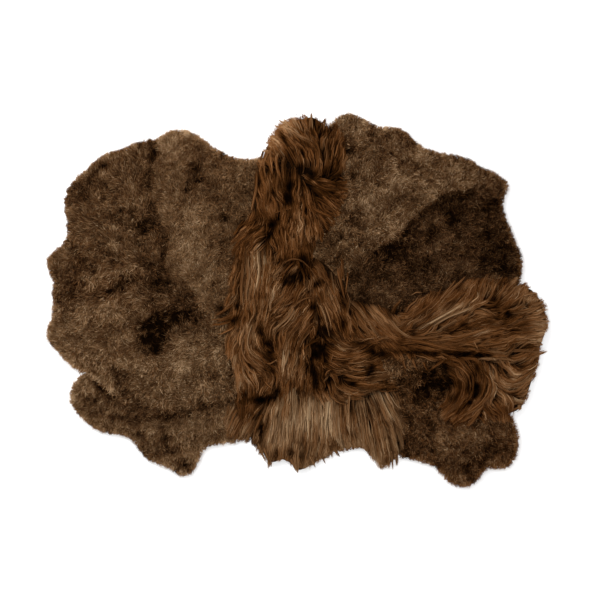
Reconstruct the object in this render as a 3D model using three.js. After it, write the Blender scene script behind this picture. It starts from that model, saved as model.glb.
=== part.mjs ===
// A sheepskin rug pieced from eleven skins, lying flat on the floor. Seven skins are clipped to a short
// curly pile and four keep their long wool. They are butted edge to edge along the seams.
// Millimetres, +Z up. The origin is on the floor, under the middle of the rug.

import * as THREE from 'three';
import { mergeVertices } from 'three/addons/utils/BufferGeometryUtils.js';
import { TessellateModifier } from 'three/addons/modifiers/TessellateModifier.js';

// Seams between two skins are this wide.
const seamGap = 0.3;

// The outlines are followed in steps of about this length, and the tops in facets no longer than this.
const edgeStep = 27;
const longestFacet = 85;
const mostHalvings = 12;

// Points nearer to each other than this are one.
const samePoint = 0.001;

// The two lengths of wool. The height is the hide's thickness and the wool standing on it. The wool's edge
// rounds over inwards by the shoulder, and the top rises and falls by the swell.
const wool = {
  clipped: { height: 32, shoulder: 9, swell: 2.5, colour: 0x59422c, roughness: 1 },
  long: { height: 60, shoulder: 14, swell: 6, colour: 0x6e4b2b, roughness: 0.9 },
};

// The rounded edge from the floor up: shares of the height and of the shoulder.
const edgeProfile = [
  { up: 0, in: 0 },
  { up: 0.45, in: 0 },
  { up: 0.85, in: 0.35 },
  { up: 1, in: 1 },
];

// The swell of the wool: three long waves crossing the rug, each with its length and its direction.
const waves = [
  { length: 410, direction: 0.35, share: 0.45 },
  { length: 290, direction: 1.7, share: 0.3 },
  { length: 190, direction: 2.6, share: 0.25 },
];

// Where a seam runs out at the rim, clockwise from the left.
const rimCorners = {
  leftSeam: [-870, -10],
  topNotch: [-500, 570],
  crestLeft: [-125, 505],
  crestRight: [115, 620],
  rightNotch: [650, 467],
  tailTop: [785, 55],
  tailFoot: [760, -415],
  skirtRight: [360, -555],
  skirtLeft: [-220, -510],
  leftNotch: [-755, -260],
};

// Where seams meet inside the rug.
const seamCorners = {
  leftCross: [-310, -55],
  waistLeft: [-230, -85],
  collarLeft: [-205, 220],
  collarRight: [30, 165],
  waistTop: [160, 60],
  waistRight: [185, 5],
  tailRoot: [265, -195],
  skirtTopRight: [330, -305],
  skirtTopLeft: [-225, -350],
};

const corners = { ...rimCorners, ...seamCorners };

// The rim from corner to corner, clockwise: a smooth curve through its lobes and hollows.
const rim = [
  {
    from: 'leftSeam', to: 'topNotch',
    through: [
      [-875, 30], [-865, 60], [-895, 125], [-875, 160], [-825, 210], [-820, 275],
      [-830, 345], [-810, 405], [-755, 460], [-705, 505], [-635, 530], [-560, 560],
    ],
  },
  {
    from: 'topNotch', to: 'crestLeft',
    through: [[-450, 600], [-400, 600], [-350, 575], [-280, 525], [-200, 495]],
  },
  {
    from: 'crestLeft', to: 'crestRight',
    through: [[-105, 570], [-55, 640], [-5, 650], [55, 660]],
  },
  {
    from: 'crestRight', to: 'rightNotch',
    through: [[155, 655], [205, 655], [285, 615], [370, 605], [435, 545], [505, 520], [605, 500]],
  },
  {
    from: 'rightNotch', to: 'tailTop',
    through: [[698, 450], [748, 405], [725, 340], [760, 235], [795, 140]],
  },
  {
    from: 'tailTop', to: 'tailFoot',
    through: [[835, 45], [880, -10], [897, -90], [870, -185], [840, -305], [805, -390]],
  },
  {
    from: 'tailFoot', to: 'skirtRight',
    through: [
      [785, -515], [750, -595], [675, -600], [625, -655], [560, -662], [490, -595], [420, -570],
    ],
  },
  {
    from: 'skirtRight', to: 'skirtLeft',
    through: [
      [330, -600], [285, -595], [230, -540], [140, -545], [70, -585],
      [5, -620], [-50, -580], [-105, -590], [-165, -505],
    ],
  },
  {
    from: 'skirtLeft', to: 'leftNotch',
    through: [
      [-270, -510], [-335, -530], [-370, -600], [-405, -630], [-465, -595], [-545, -560],
      [-600, -490], [-710, -465], [-790, -395], [-810, -340], [-790, -290],
    ],
  },
  {
    from: 'leftNotch', to: 'leftSeam',
    through: [[-805, -235], [-855, -185], [-895, -130], [-875, -65]],
  },
];

// The seams, each a smooth curve between two corners.
const seams = [
  {
    from: 'topNotch', to: 'leftCross',
    through: [[-515, 495], [-540, 395], [-490, 275], [-475, 110], [-400, 20]],
  },
  { from: 'leftSeam', to: 'leftCross', through: [[-740, -10], [-600, -25], [-490, -60], [-400, -85]] },
  { from: 'leftCross', to: 'waistLeft', through: [[-270, -65]] },
  { from: 'collarLeft', to: 'waistLeft', through: [[-230, 125], [-240, 5]] },
  { from: 'crestLeft', to: 'collarLeft', through: [[-145, 455], [-165, 335]] },
  { from: 'collarLeft', to: 'collarRight', through: [[-135, 200], [-45, 190]] },
  { from: 'crestRight', to: 'collarRight', through: [[150, 540], [155, 390], [120, 295], [70, 225]] },
  { from: 'collarRight', to: 'waistTop', through: [[95, 130]] },
  {
    from: 'rightNotch', to: 'waistTop',
    through: [[625, 395], [550, 385], [435, 315], [355, 210], [230, 150]],
  },
  { from: 'waistTop', to: 'waistRight', through: [] },
  { from: 'waistRight', to: 'tailTop', through: [[270, -15], [380, -40], [490, 5], [640, 50]] },
  { from: 'waistRight', to: 'tailRoot', through: [[210, -100]] },
  {
    from: 'tailRoot', to: 'tailFoot',
    through: [[370, -190], [500, -220], [535, -305], [525, -400], [585, -435], [685, -410]],
  },
  { from: 'tailRoot', to: 'skirtTopRight', through: [[290, -255]] },
  { from: 'skirtRight', to: 'skirtTopRight', through: [[350, -430]] },
  {
    from: 'skirtTopLeft', to: 'skirtTopRight',
    through: [[-130, -355], [-45, -285], [80, -310], [240, -325]],
  },
  { from: 'waistLeft', to: 'skirtTopLeft', through: [[-240, -160], [-215, -260]] },
  {
    from: 'leftNotch', to: 'skirtTopLeft',
    through: [[-695, -305], [-625, -365], [-525, -415], [-400, -415], [-295, -365]],
  },
  { from: 'skirtLeft', to: 'skirtTopLeft', through: [[-240, -430]] },
];

// The skins: each runs from corner to corner along the rim and the seams, and has one length of wool.
const skins = [
  { name: 'skin_upper_left', wool: wool.clipped, round: ['leftSeam', 'topNotch', 'leftCross'] },
  {
    name: 'skin_upper_left_inner', wool: wool.clipped,
    round: ['topNotch', 'crestLeft', 'collarLeft', 'waistLeft', 'leftCross'],
  },
  {
    name: 'skin_left', wool: wool.clipped,
    round: ['leftNotch', 'leftSeam', 'leftCross', 'waistLeft', 'skirtTopLeft'],
  },
  { name: 'skin_lower_left', wool: wool.clipped, round: ['skirtLeft', 'leftNotch', 'skirtTopLeft'] },
  { name: 'skin_top_long', wool: wool.long, round: ['crestLeft', 'crestRight', 'collarRight', 'collarLeft'] },
  {
    name: 'skin_centre_long', wool: wool.long,
    round: [
      'collarLeft', 'collarRight', 'waistTop', 'waistRight',
      'tailRoot', 'skirtTopRight', 'skirtTopLeft', 'waistLeft',
    ],
  },
  {
    name: 'skin_lower_long', wool: wool.long,
    round: ['skirtRight', 'skirtLeft', 'skirtTopLeft', 'skirtTopRight'],
  },
  { name: 'skin_right_long', wool: wool.long, round: ['waistRight', 'tailTop', 'tailFoot', 'tailRoot'] },
  {
    name: 'skin_upper_right', wool: wool.clipped,
    round: ['crestRight', 'rightNotch', 'waistTop', 'collarRight'],
  },
  { name: 'skin_right', wool: wool.clipped, round: ['rightNotch', 'tailTop', 'waistRight', 'waistTop'] },
  {
    name: 'skin_lower_right', wool: wool.clipped,
    round: ['tailFoot', 'skirtRight', 'skirtTopRight', 'tailRoot'],
  },
];

// The points of a border in equal steps. Both skins beside a seam get the same points.
function borderPoints(row) {
  const through = [corners[row.from], ...row.through, corners[row.to]];
  const curve = new THREE.SplineCurve(through.map(([x, y]) => new THREE.Vector2(x, y)));
  return curve.getSpacedPoints(Math.max(2, Math.round(curve.getLength() / edgeStep)));
}

const borders = [...rim, ...seams].map((row) => ({ ...row, points: borderPoints(row) }));

// The stretch of outline between two corners, in the direction asked for, without its last point.
function stretch(from, to) {
  const ahead = borders.find((row) => row.from === from && row.to === to);
  const back = borders.find((row) => row.from === to && row.to === from);
  const points = ahead ? ahead.points : [...back.points].reverse();
  return points.slice(0, -1);
}

// A skin's whole outline, anticlockwise seen from above.
function outlineOf(skin) {
  const points = skin.round.flatMap((corner, i) => stretch(corner, skin.round[(i + 1) % skin.round.length]));
  return THREE.ShapeUtils.area(points) > 0 ? points : points.reverse();
}

// The outline drawn in by a distance, with each corner on its mitre.
function drawnIn(outline, distance) {
  return outline.map((point, i) => {
    const before = outline[(i + outline.length - 1) % outline.length];
    const after = outline[(i + 1) % outline.length];
    const arriving = point.clone().sub(before).normalize();
    const leaving = after.clone().sub(point).normalize();
    const inward = new THREE.Vector2(-leaving.y, leaving.x);
    const mitre = new THREE.Vector2(-arriving.y, arriving.x).add(inward).normalize();
    return point.clone().addScaledVector(mitre, distance / mitre.dot(inward));
  });
}

// How high the wool's top stands over the floor at a place on the rug.
function topHeight(pile, x, y) {
  const rise = waves.reduce((sum, wave) => {
    const along = x * Math.cos(wave.direction) + y * Math.sin(wave.direction);
    return sum + wave.share * Math.sin((2 * Math.PI * along) / wave.length);
  }, 0);
  return pile.height + pile.swell * rise;
}

// The top inside the last ring, in facets small enough to follow the swell. Its own edge stays as it is.
function topFacets(ring) {
  const top = new THREE.BufferGeometry();
  const order = THREE.ShapeUtils.triangulateShape(ring, []).flat();
  const places = order.flatMap((i) => [ring[i].x, ring[i].y, 1]);
  top.setAttribute('position', new THREE.Float32BufferAttribute(places, 3));
  const fine = new TessellateModifier(longestFacet, mostHalvings).modify(top);
  return Array.from(fine.getAttribute('position').array);
}

// One skin as a closed solid: the flat underside, the rounded edge in rings, and the swelling top. The facets
// are laid out with their share of the height in z, and then all of them are raised to the wool's height.
function skinGeometry(outline, pile) {
  const rings = edgeProfile.map((row) => drawnIn(outline, seamGap / 2 + row.in * pile.shoulder));
  const places = [];
  const facet = (...cornersOfFacet) => {
    for (const [level, i] of cornersOfFacet) {
      places.push(rings[level][i].x, rings[level][i].y, edgeProfile[level].up);
    }
  };
  for (const [a, b, c] of THREE.ShapeUtils.triangulateShape(rings[0], [])) {
    facet([0, a], [0, c], [0, b]);
  }
  for (let level = 1; level < rings.length; level += 1) {
    outline.forEach((point, i) => {
      const next = (i + 1) % outline.length;
      facet([level - 1, i], [level - 1, next], [level, next]);
      facet([level - 1, i], [level, next], [level, i]);
    });
  }
  places.push(...topFacets(rings.at(-1)));

  const geometry = new THREE.BufferGeometry();
  geometry.setAttribute('position', new THREE.Float32BufferAttribute(places, 3));
  const raised = geometry.getAttribute('position');
  for (let i = 0; i < raised.count; i += 1) {
    raised.setZ(i, raised.getZ(i) * topHeight(pile, raised.getX(i), raised.getY(i)));
  }
  const solid = mergeVertices(geometry, samePoint);
  solid.computeVertexNormals();
  return solid;
}

const rug = new THREE.Group();
rug.name = 'sheepskin_rug';
for (const skin of skins) {
  const { colour, roughness } = skin.wool;
  const finish = new THREE.MeshStandardMaterial({ color: colour, roughness, metalness: 0 });
  const mesh = new THREE.Mesh(skinGeometry(outlineOf(skin), skin.wool), finish);
  mesh.name = skin.name;
  rug.add(mesh);
}

// The rug is centred on its own box.
const middle = new THREE.Box3().setFromObject(rug).getCenter(new THREE.Vector3());
for (const mesh of rug.children) {
  mesh.geometry.translate(-middle.x, -middle.y, 0);
}

export default rug;
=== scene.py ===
import bpy
import numpy as np
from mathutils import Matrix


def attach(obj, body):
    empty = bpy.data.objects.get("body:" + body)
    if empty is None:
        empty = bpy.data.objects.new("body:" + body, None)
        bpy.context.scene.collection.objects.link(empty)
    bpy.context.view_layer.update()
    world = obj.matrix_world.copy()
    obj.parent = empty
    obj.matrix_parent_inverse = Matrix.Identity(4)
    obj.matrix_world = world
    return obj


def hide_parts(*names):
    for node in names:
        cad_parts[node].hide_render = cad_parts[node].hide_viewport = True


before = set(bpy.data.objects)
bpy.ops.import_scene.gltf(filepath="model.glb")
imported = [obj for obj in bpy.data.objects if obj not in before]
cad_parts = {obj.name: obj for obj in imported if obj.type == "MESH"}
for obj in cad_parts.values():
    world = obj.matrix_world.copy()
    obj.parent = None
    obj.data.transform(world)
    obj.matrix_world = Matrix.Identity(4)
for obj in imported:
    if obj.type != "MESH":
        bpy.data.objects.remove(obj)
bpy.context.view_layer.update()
mm = 0.001

# The hides: eleven skins of soft tanned leather, cut to meet edge to edge, wool side up, flat on
# the floor. At the rug's rim the leather stops a little short, and the wool reaches past it.
leather = 1.6 * mm
hide_cell = 16 * mm
short_of_rim = {"clipped": 4 * mm, "long": 9 * mm}
skins = sorted(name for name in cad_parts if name.startswith("skin_"))
wool_of = {skin: "long" if skin.endswith("_long") else "clipped" for skin in skins}


def cut_line(solid):
    """A skin's outline as edges (n, 2 ends, x y): the sides of the solid's facets at height 0 that no
    other such facet shares."""
    solid.data.calc_loop_triangles()
    corners = np.empty(len(solid.data.vertices) * 3, np.float32)
    facets = np.empty(len(solid.data.loop_triangles) * 3, np.int32)
    solid.data.vertices.foreach_get("co", corners)
    solid.data.loop_triangles.foreach_get("vertices", facets)
    facets = corners.reshape(-1, 3)[facets.reshape(-1, 3)].astype(float)
    floor = facets[(facets[:, :, 2] < 0.01 * mm).all(1)][:, :, :2]
    sides = np.stack([floor, np.roll(floor, -1, axis=1)], axis=2).reshape(-1, 2, 2)
    ends = np.round(sides / (0.01 * mm)).astype(np.int64) @ [10**7, 1]
    _, first, shared = np.unique(np.sort(ends, axis=1), axis=0, return_index=True, return_counts=True)
    return sides[first[shared == 1]]


def inside(points, line):
    """True where a ray that goes right from a point crosses the line an odd number of times."""
    (ax, ay), (bx, by) = line[:, 0].T, line[:, 1].T
    x, y = points[:, :1], points[:, 1:]
    meets = ax + (y - ay) * (bx - ax) / np.where(by == ay, 1, by - ay)
    return (((ay > y) != (by > y)) & (meets > x)).sum(1) % 2 == 1


def distance(points, line):
    """How far each point is from the nearest edge: to the foot of its perpendicular, held between the
    edge's ends."""
    start, along = line[:, 0], line[:, 1] - line[:, 0]
    away = points[:, None] - start
    share = np.clip((away * along).sum(2) / (along**2).sum(1), 0, 1)
    return np.linalg.norm(away - share[..., None] * along, axis=2).min(1)


cut = {skin: cut_line(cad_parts[skin]) for skin in skins}
every_edge = np.concatenate([cut[skin] for skin in skins])
skin_of_edge = np.repeat(np.arange(len(skins)), [len(cut[skin]) for skin in skins])
is_seam = np.concatenate(
    [distance(cut[skin].mean(1), every_edge[skin_of_edge != k]) < 4 * mm for k, skin in enumerate(skins)]
)
rim = every_edge[~is_seam]


def depth(points, skin, short, lap):
    """How far inside a skin a point lies, negative outside: its distance from the cut line plus the lap
    over the next skin, and no more than its distance from the rug's rim less the length by which the
    skin stops short there."""
    side = np.where(inside(points, cut[skin]), 1, -1)
    return np.minimum(distance(points, cut[skin]) * side + lap, distance(points, rim) - short)


def trimmed(skin, short, cell, lap=0):
    """A square grid over the skin, trimmed to it: the cells whose middles are inside stay, and each of
    their corners on the outside moves down the slope of depth to where depth is 0."""
    low, high = cut[skin].reshape(-1, 2).min(0), cut[skin].reshape(-1, 2).max(0)
    x, y = (np.arange(low[i] - cell / 2, high[i] + cell, cell) for i in (0, 1))
    points = np.stack(np.meshgrid(x, y), axis=-1).reshape(-1, 2)
    corner = np.arange(len(points)).reshape(len(y), len(x))
    cells = [corner[:-1, :-1], corner[:-1, 1:], corner[1:, 1:], corner[1:, :-1]]
    cells = np.stack(cells, axis=-1).reshape(-1, 4)
    cells = cells[depth(points[cells].mean(1), skin, short, lap) > 0]
    outer = np.isin(np.bincount(cells.ravel(), minlength=len(points)), [1, 2, 3])
    step = 0.5 * mm * np.eye(2)
    for _ in range(3):
        here = points[outer]
        slope = [(depth(here + s, skin, short, lap) - depth(here - s, skin, short, lap)) / mm for s in step]
        points[outer] -= depth(here, skin, short, lap)[:, None] * np.stack(slope, axis=1)
    used, cells = np.unique(cells, return_inverse=True)
    return points[used], cells.reshape(-1, 4)


def made(name, points, faces, looks, uv=None):
    """One mesh from points (n, 3) and a list of (look's number, faces of 3 or 4 corners)."""
    mesh = bpy.data.meshes.new(name)
    corners = np.concatenate([f.ravel() for _, f in faces])
    sizes = np.concatenate([np.full(len(f), f.shape[1]) for _, f in faces])
    mesh.vertices.add(len(points))
    mesh.vertices.foreach_set("co", points.astype(np.float32).ravel())
    mesh.loops.add(len(corners))
    mesh.loops.foreach_set("vertex_index", corners.astype(np.int32))
    mesh.polygons.add(len(sizes))
    mesh.polygons.foreach_set("loop_start", (np.cumsum(sizes) - sizes).astype(np.int32))
    look_of = np.concatenate([np.full(len(f), k) for k, f in faces])
    mesh.polygons.foreach_set("material_index", look_of.astype(np.int32))
    mesh.polygons.foreach_set("use_smooth", np.full(len(sizes), uv is not None))
    if uv is not None:
        mesh.uv_layers.new(name="OFBake").data.foreach_set("uv", uv[corners].astype(np.float32).ravel())
    for look in looks:
        mesh.materials.append(look)
    mesh.update(calc_edges=True)
    piece = bpy.data.objects.new(name, mesh)
    bpy.context.collection.objects.link(piece)
    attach(piece, "root")
    return piece


class Wire:
    """One socket in a material's nodes. + - * between wires and numbers add Math nodes, and node adds
    any other kind: its type, its settings, its inputs and which output to go on from."""

    def __init__(self, tree, socket=None):
        self.tree, self.socket = tree, socket

    def node(self, kind, settings, inputs, output=0):
        new = self.tree.nodes.new("ShaderNode" + kind)
        for name, value in settings.items():
            if name == "stops":
                first, *middle, last = value
                ends = new.color_ramp.elements
                (ends[0].position, ends[0].color), (ends[1].position, ends[1].color) = first, last
                for place, colour in middle:
                    ends.new(place).color = colour
            else:
                setattr(new, name, value)
        for name, value in inputs.items():
            if isinstance(value, Wire):
                self.tree.links.new(value.socket, new.inputs[name])
            else:
                new.inputs[name].default_value = value
        return Wire(self.tree, new.outputs[output])

    def maths(self, operation, *values):
        return self.node("Math", {"operation": operation}, dict(enumerate(values)))

    def mixed(self, share, other):
        """This colour with a share of another one."""
        return self.node("Mix", {"data_type": "RGBA"}, {0: share, 6: self, 7: other}, 2)

    def __add__(self, other):
        return self.maths("ADD", self, other)

    def __sub__(self, other):
        return self.maths("SUBTRACT", self, other)

    def __rsub__(self, other):
        return self.maths("SUBTRACT", other, self)

    def __mul__(self, other):
        return self.maths("MULTIPLY", self, other)

    __radd__, __rmul__ = __add__, __mul__


def finish_of(name, colour=None, **fixed):
    """A Principled finish with these fixed sockets. colour(start), where there is one, draws its colour and
    may give a height for its bump as well."""
    look = bpy.data.materials.new(name)
    look.use_nodes = True
    shader = look.node_tree.nodes["Principled BSDF"]
    for socket, value in fixed.items():
        shader.inputs[socket.replace("_", " ")].default_value = value
    if colour is None:
        return look
    start = Wire(look.node_tree)
    drawn, height = colour(start)
    look.node_tree.links.new(drawn.socket, shader.inputs["Base Color"])
    if height:
        bump = start.node("Bump", {}, {"Height": height, "Strength": 0.4, "Distance": 0.5 * mm})
        look.node_tree.links.new(bump.socket, shader.inputs["Normal"])
    return look


def suede(start):
    """The flesh side: buff, clouded over a hand's width, with a fine nap."""
    where = start.node("TexCoord", {}, {}, "Object")
    clouds = start.node("TexNoise", {}, {"Vector": where, "Scale": 14.0, "Detail": 5.0})
    nap = start.node("TexNoise", {}, {"Vector": where, "Scale": 900.0, "Detail": 2.0})
    stops = [(0.3, (0.30, 0.20, 0.12, 1)), (0.7, (0.46, 0.34, 0.23, 1))]
    return start.node("ValToRGB", {"stops": stops}, {"Fac": clouds + 0.3 * nap - 0.15}), nap


hide_look = finish_of("suede_hide", suede, Roughness=0.9)
for skin in skins:
    points, cells = trimmed(skin, short_of_rim[wool_of[skin]], hide_cell)
    count = len(points)
    sides = np.stack([cells, np.roll(cells, -1, axis=1)], axis=2).reshape(-1, 2)
    edge = sides[~np.isin(sides @ [count, 1], sides[:, ::-1] @ [count, 1])]
    wall = np.stack([edge[:, 1], edge[:, 0], edge[:, 0] + count, edge[:, 1] + count], axis=1)
    shell = np.concatenate([np.c_[points, np.full(count, leather)], np.c_[points, np.zeros(count)]])
    faces = np.concatenate([cells, cells[:, ::-1] + count, wall])
    hide = made(skin.replace("skin", "hide"), shell, [(0, faces)], [hide_look])
    quads = points[cells]
    across, down = quads[:, 2] - quads[:, 0], quads[:, 3] - quads[:, 1]
    area = (across[:, 0] * down[:, 1] - across[:, 1] * down[:, 0]).sum() / 2


# How high the wool stands over the whole rug, on a 4 mm grid: clipped wool is even with a short round
# shoulder, long wool is thicker and slopes away over a hand's width at the rim, and seams dip a little.
height_cell = 4 * mm
stands = {"clipped": 31 * mm, "long": 47 * mm}
shoulder = {"clipped": 13 * mm, "long": 75 * mm}
low = every_edge.reshape(-1, 2).min(0) - 60 * mm
wide, tall = np.ceil((every_edge.reshape(-1, 2).max(0) + 60 * mm - low) / height_cell).astype(int)
grid = np.stack(np.meshgrid(np.arange(wide), np.arange(tall)), axis=-1).reshape(-1, 2) * height_cell + low


def softened(picture, reach):
    """A picture on the height grid blurred by a bell curve of that reach, through its Fourier transform."""
    across = np.fft.rfftfreq(picture.shape[1], height_cell)
    down = np.fft.fftfreq(picture.shape[0], height_cell)[:, None]
    bell = np.exp(-2 * (np.pi * reach) ** 2 * (across**2 + down**2))
    return np.fft.irfft2(np.fft.rfft2(picture) * bell, picture.shape)


def clouds(picture_of, reach, seed):
    """Soft random clouds of that size on the height grid: noise, blurred, then scaled to spread by 1."""
    noise = softened(np.random.default_rng(seed).standard_normal(picture_of.shape), reach)
    return noise / noise.std()


def read(picture, points):
    """The picture's value at any points (..., x y), running straight between the grid's middles."""
    place = np.clip((points - low) / height_cell, 0, [wide - 1.001, tall - 1.001])
    left, down = place[..., 0].astype(int), place[..., 1].astype(int)
    across, up = place[..., 0] - left, place[..., 1] - down
    bottom = picture[down, left] * (1 - across) + picture[down, left + 1] * across
    top = picture[down + 1, left] * (1 - across) + picture[down + 1, left + 1] * across
    return bottom * (1 - up) + top * up


def eased(share):
    """0 to 1 with a soft start and end: 3 t² - 2 t³."""
    share = np.clip(share, 0, 1)
    return share**2 * (3 - 2 * share)


owner = np.full(len(grid), -1)
for k, skin in enumerate(skins):
    span = cut[skin].reshape(-1, 2)
    near = np.flatnonzero(((grid > span.min(0)) & (grid < span.max(0))).all(1))
    owner[near[inside(grid[near], cut[skin])]] = k
owner = owner.reshape(tall, wide)
on_rug = softened((owner >= 0) * 1.0, 4 * mm) > 0.5
close_by = softened(on_rug * 1.0, 12 * mm) > 1e-3
from_rim = np.full(len(grid), -30 * mm)
for part in np.array_split(np.flatnonzero(close_by.ravel()), 16):
    from_rim[part] = distance(grid[part], rim) * np.where(on_rug.ravel()[part], 1, -1)
from_rim = from_rim.reshape(tall, wide)
is_long = np.isin(owner, [k for k, skin in enumerate(skins) if wool_of[skin] == "long"])
long_share = softened(is_long * 1.0, 9 * mm) / np.maximum(softened(on_rug * 1.0, 9 * mm), 0.1)
seam = np.zeros_like(on_rug)
seam[:, 1:] |= (owner[:, 1:] != owner[:, :-1]) & on_rug[:, 1:] & on_rug[:, :-1]
seam[1:] |= (owner[1:] != owner[:-1]) & on_rug[1:] & on_rug[:-1]
seam = softened(seam * 1.0, 6 * mm)
seam *= eased(0.5 + 0.6 * clouds(seam, 18 * mm, 3)) / seam.max()
top = {
    wool: np.sqrt(1 - (1 - np.clip(from_rim / shoulder[wool], 0, 1)) ** 2) * on_rug * stands[wool]
    for wool in stands
}

# Places were read off enlargements of the photograph. Rows in px_ are in its pixels, and the other
# rows were written in mm. One pixel is 3.56 mm of rug, and the rug's middle is under (298.52, 300.18).
pixel = 3.56
middle = (298.52, 300.18)


def from_pixel(x, y, grain):
    """The place under a pixel, in mm: its distance from the middle pixel times a pixel's size, rounded to
    the grain, with y turned to point up."""
    return round((x - middle[0]) * pixel / grain) * grain, round((middle[1] - y) * pixel / grain) * grain


def px_spot(x, y, length, width, turn, strength):
    """A soft spot read in pixels, to the nearest 5 mm, no less than 5 mm long and wide."""
    size = [max(5, round(half * pixel)) for half in (length, width)]
    return *from_pixel(x, y, 5), *size, turn, strength


def px_mark(x, y, heading):
    """A combing mark read in pixels, to the nearest 5 mm."""
    return *from_pixel(x, y, 5), heading


def px_lock(tone, warmth, half, *points):
    """A placed lock read in pixels, to the nearest mm."""
    places = [from_pixel(x, y, 1) for x, y in zip(points[::2], points[1::2])]
    return tone, warmth, half, *[value for place in places for value in place]
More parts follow.
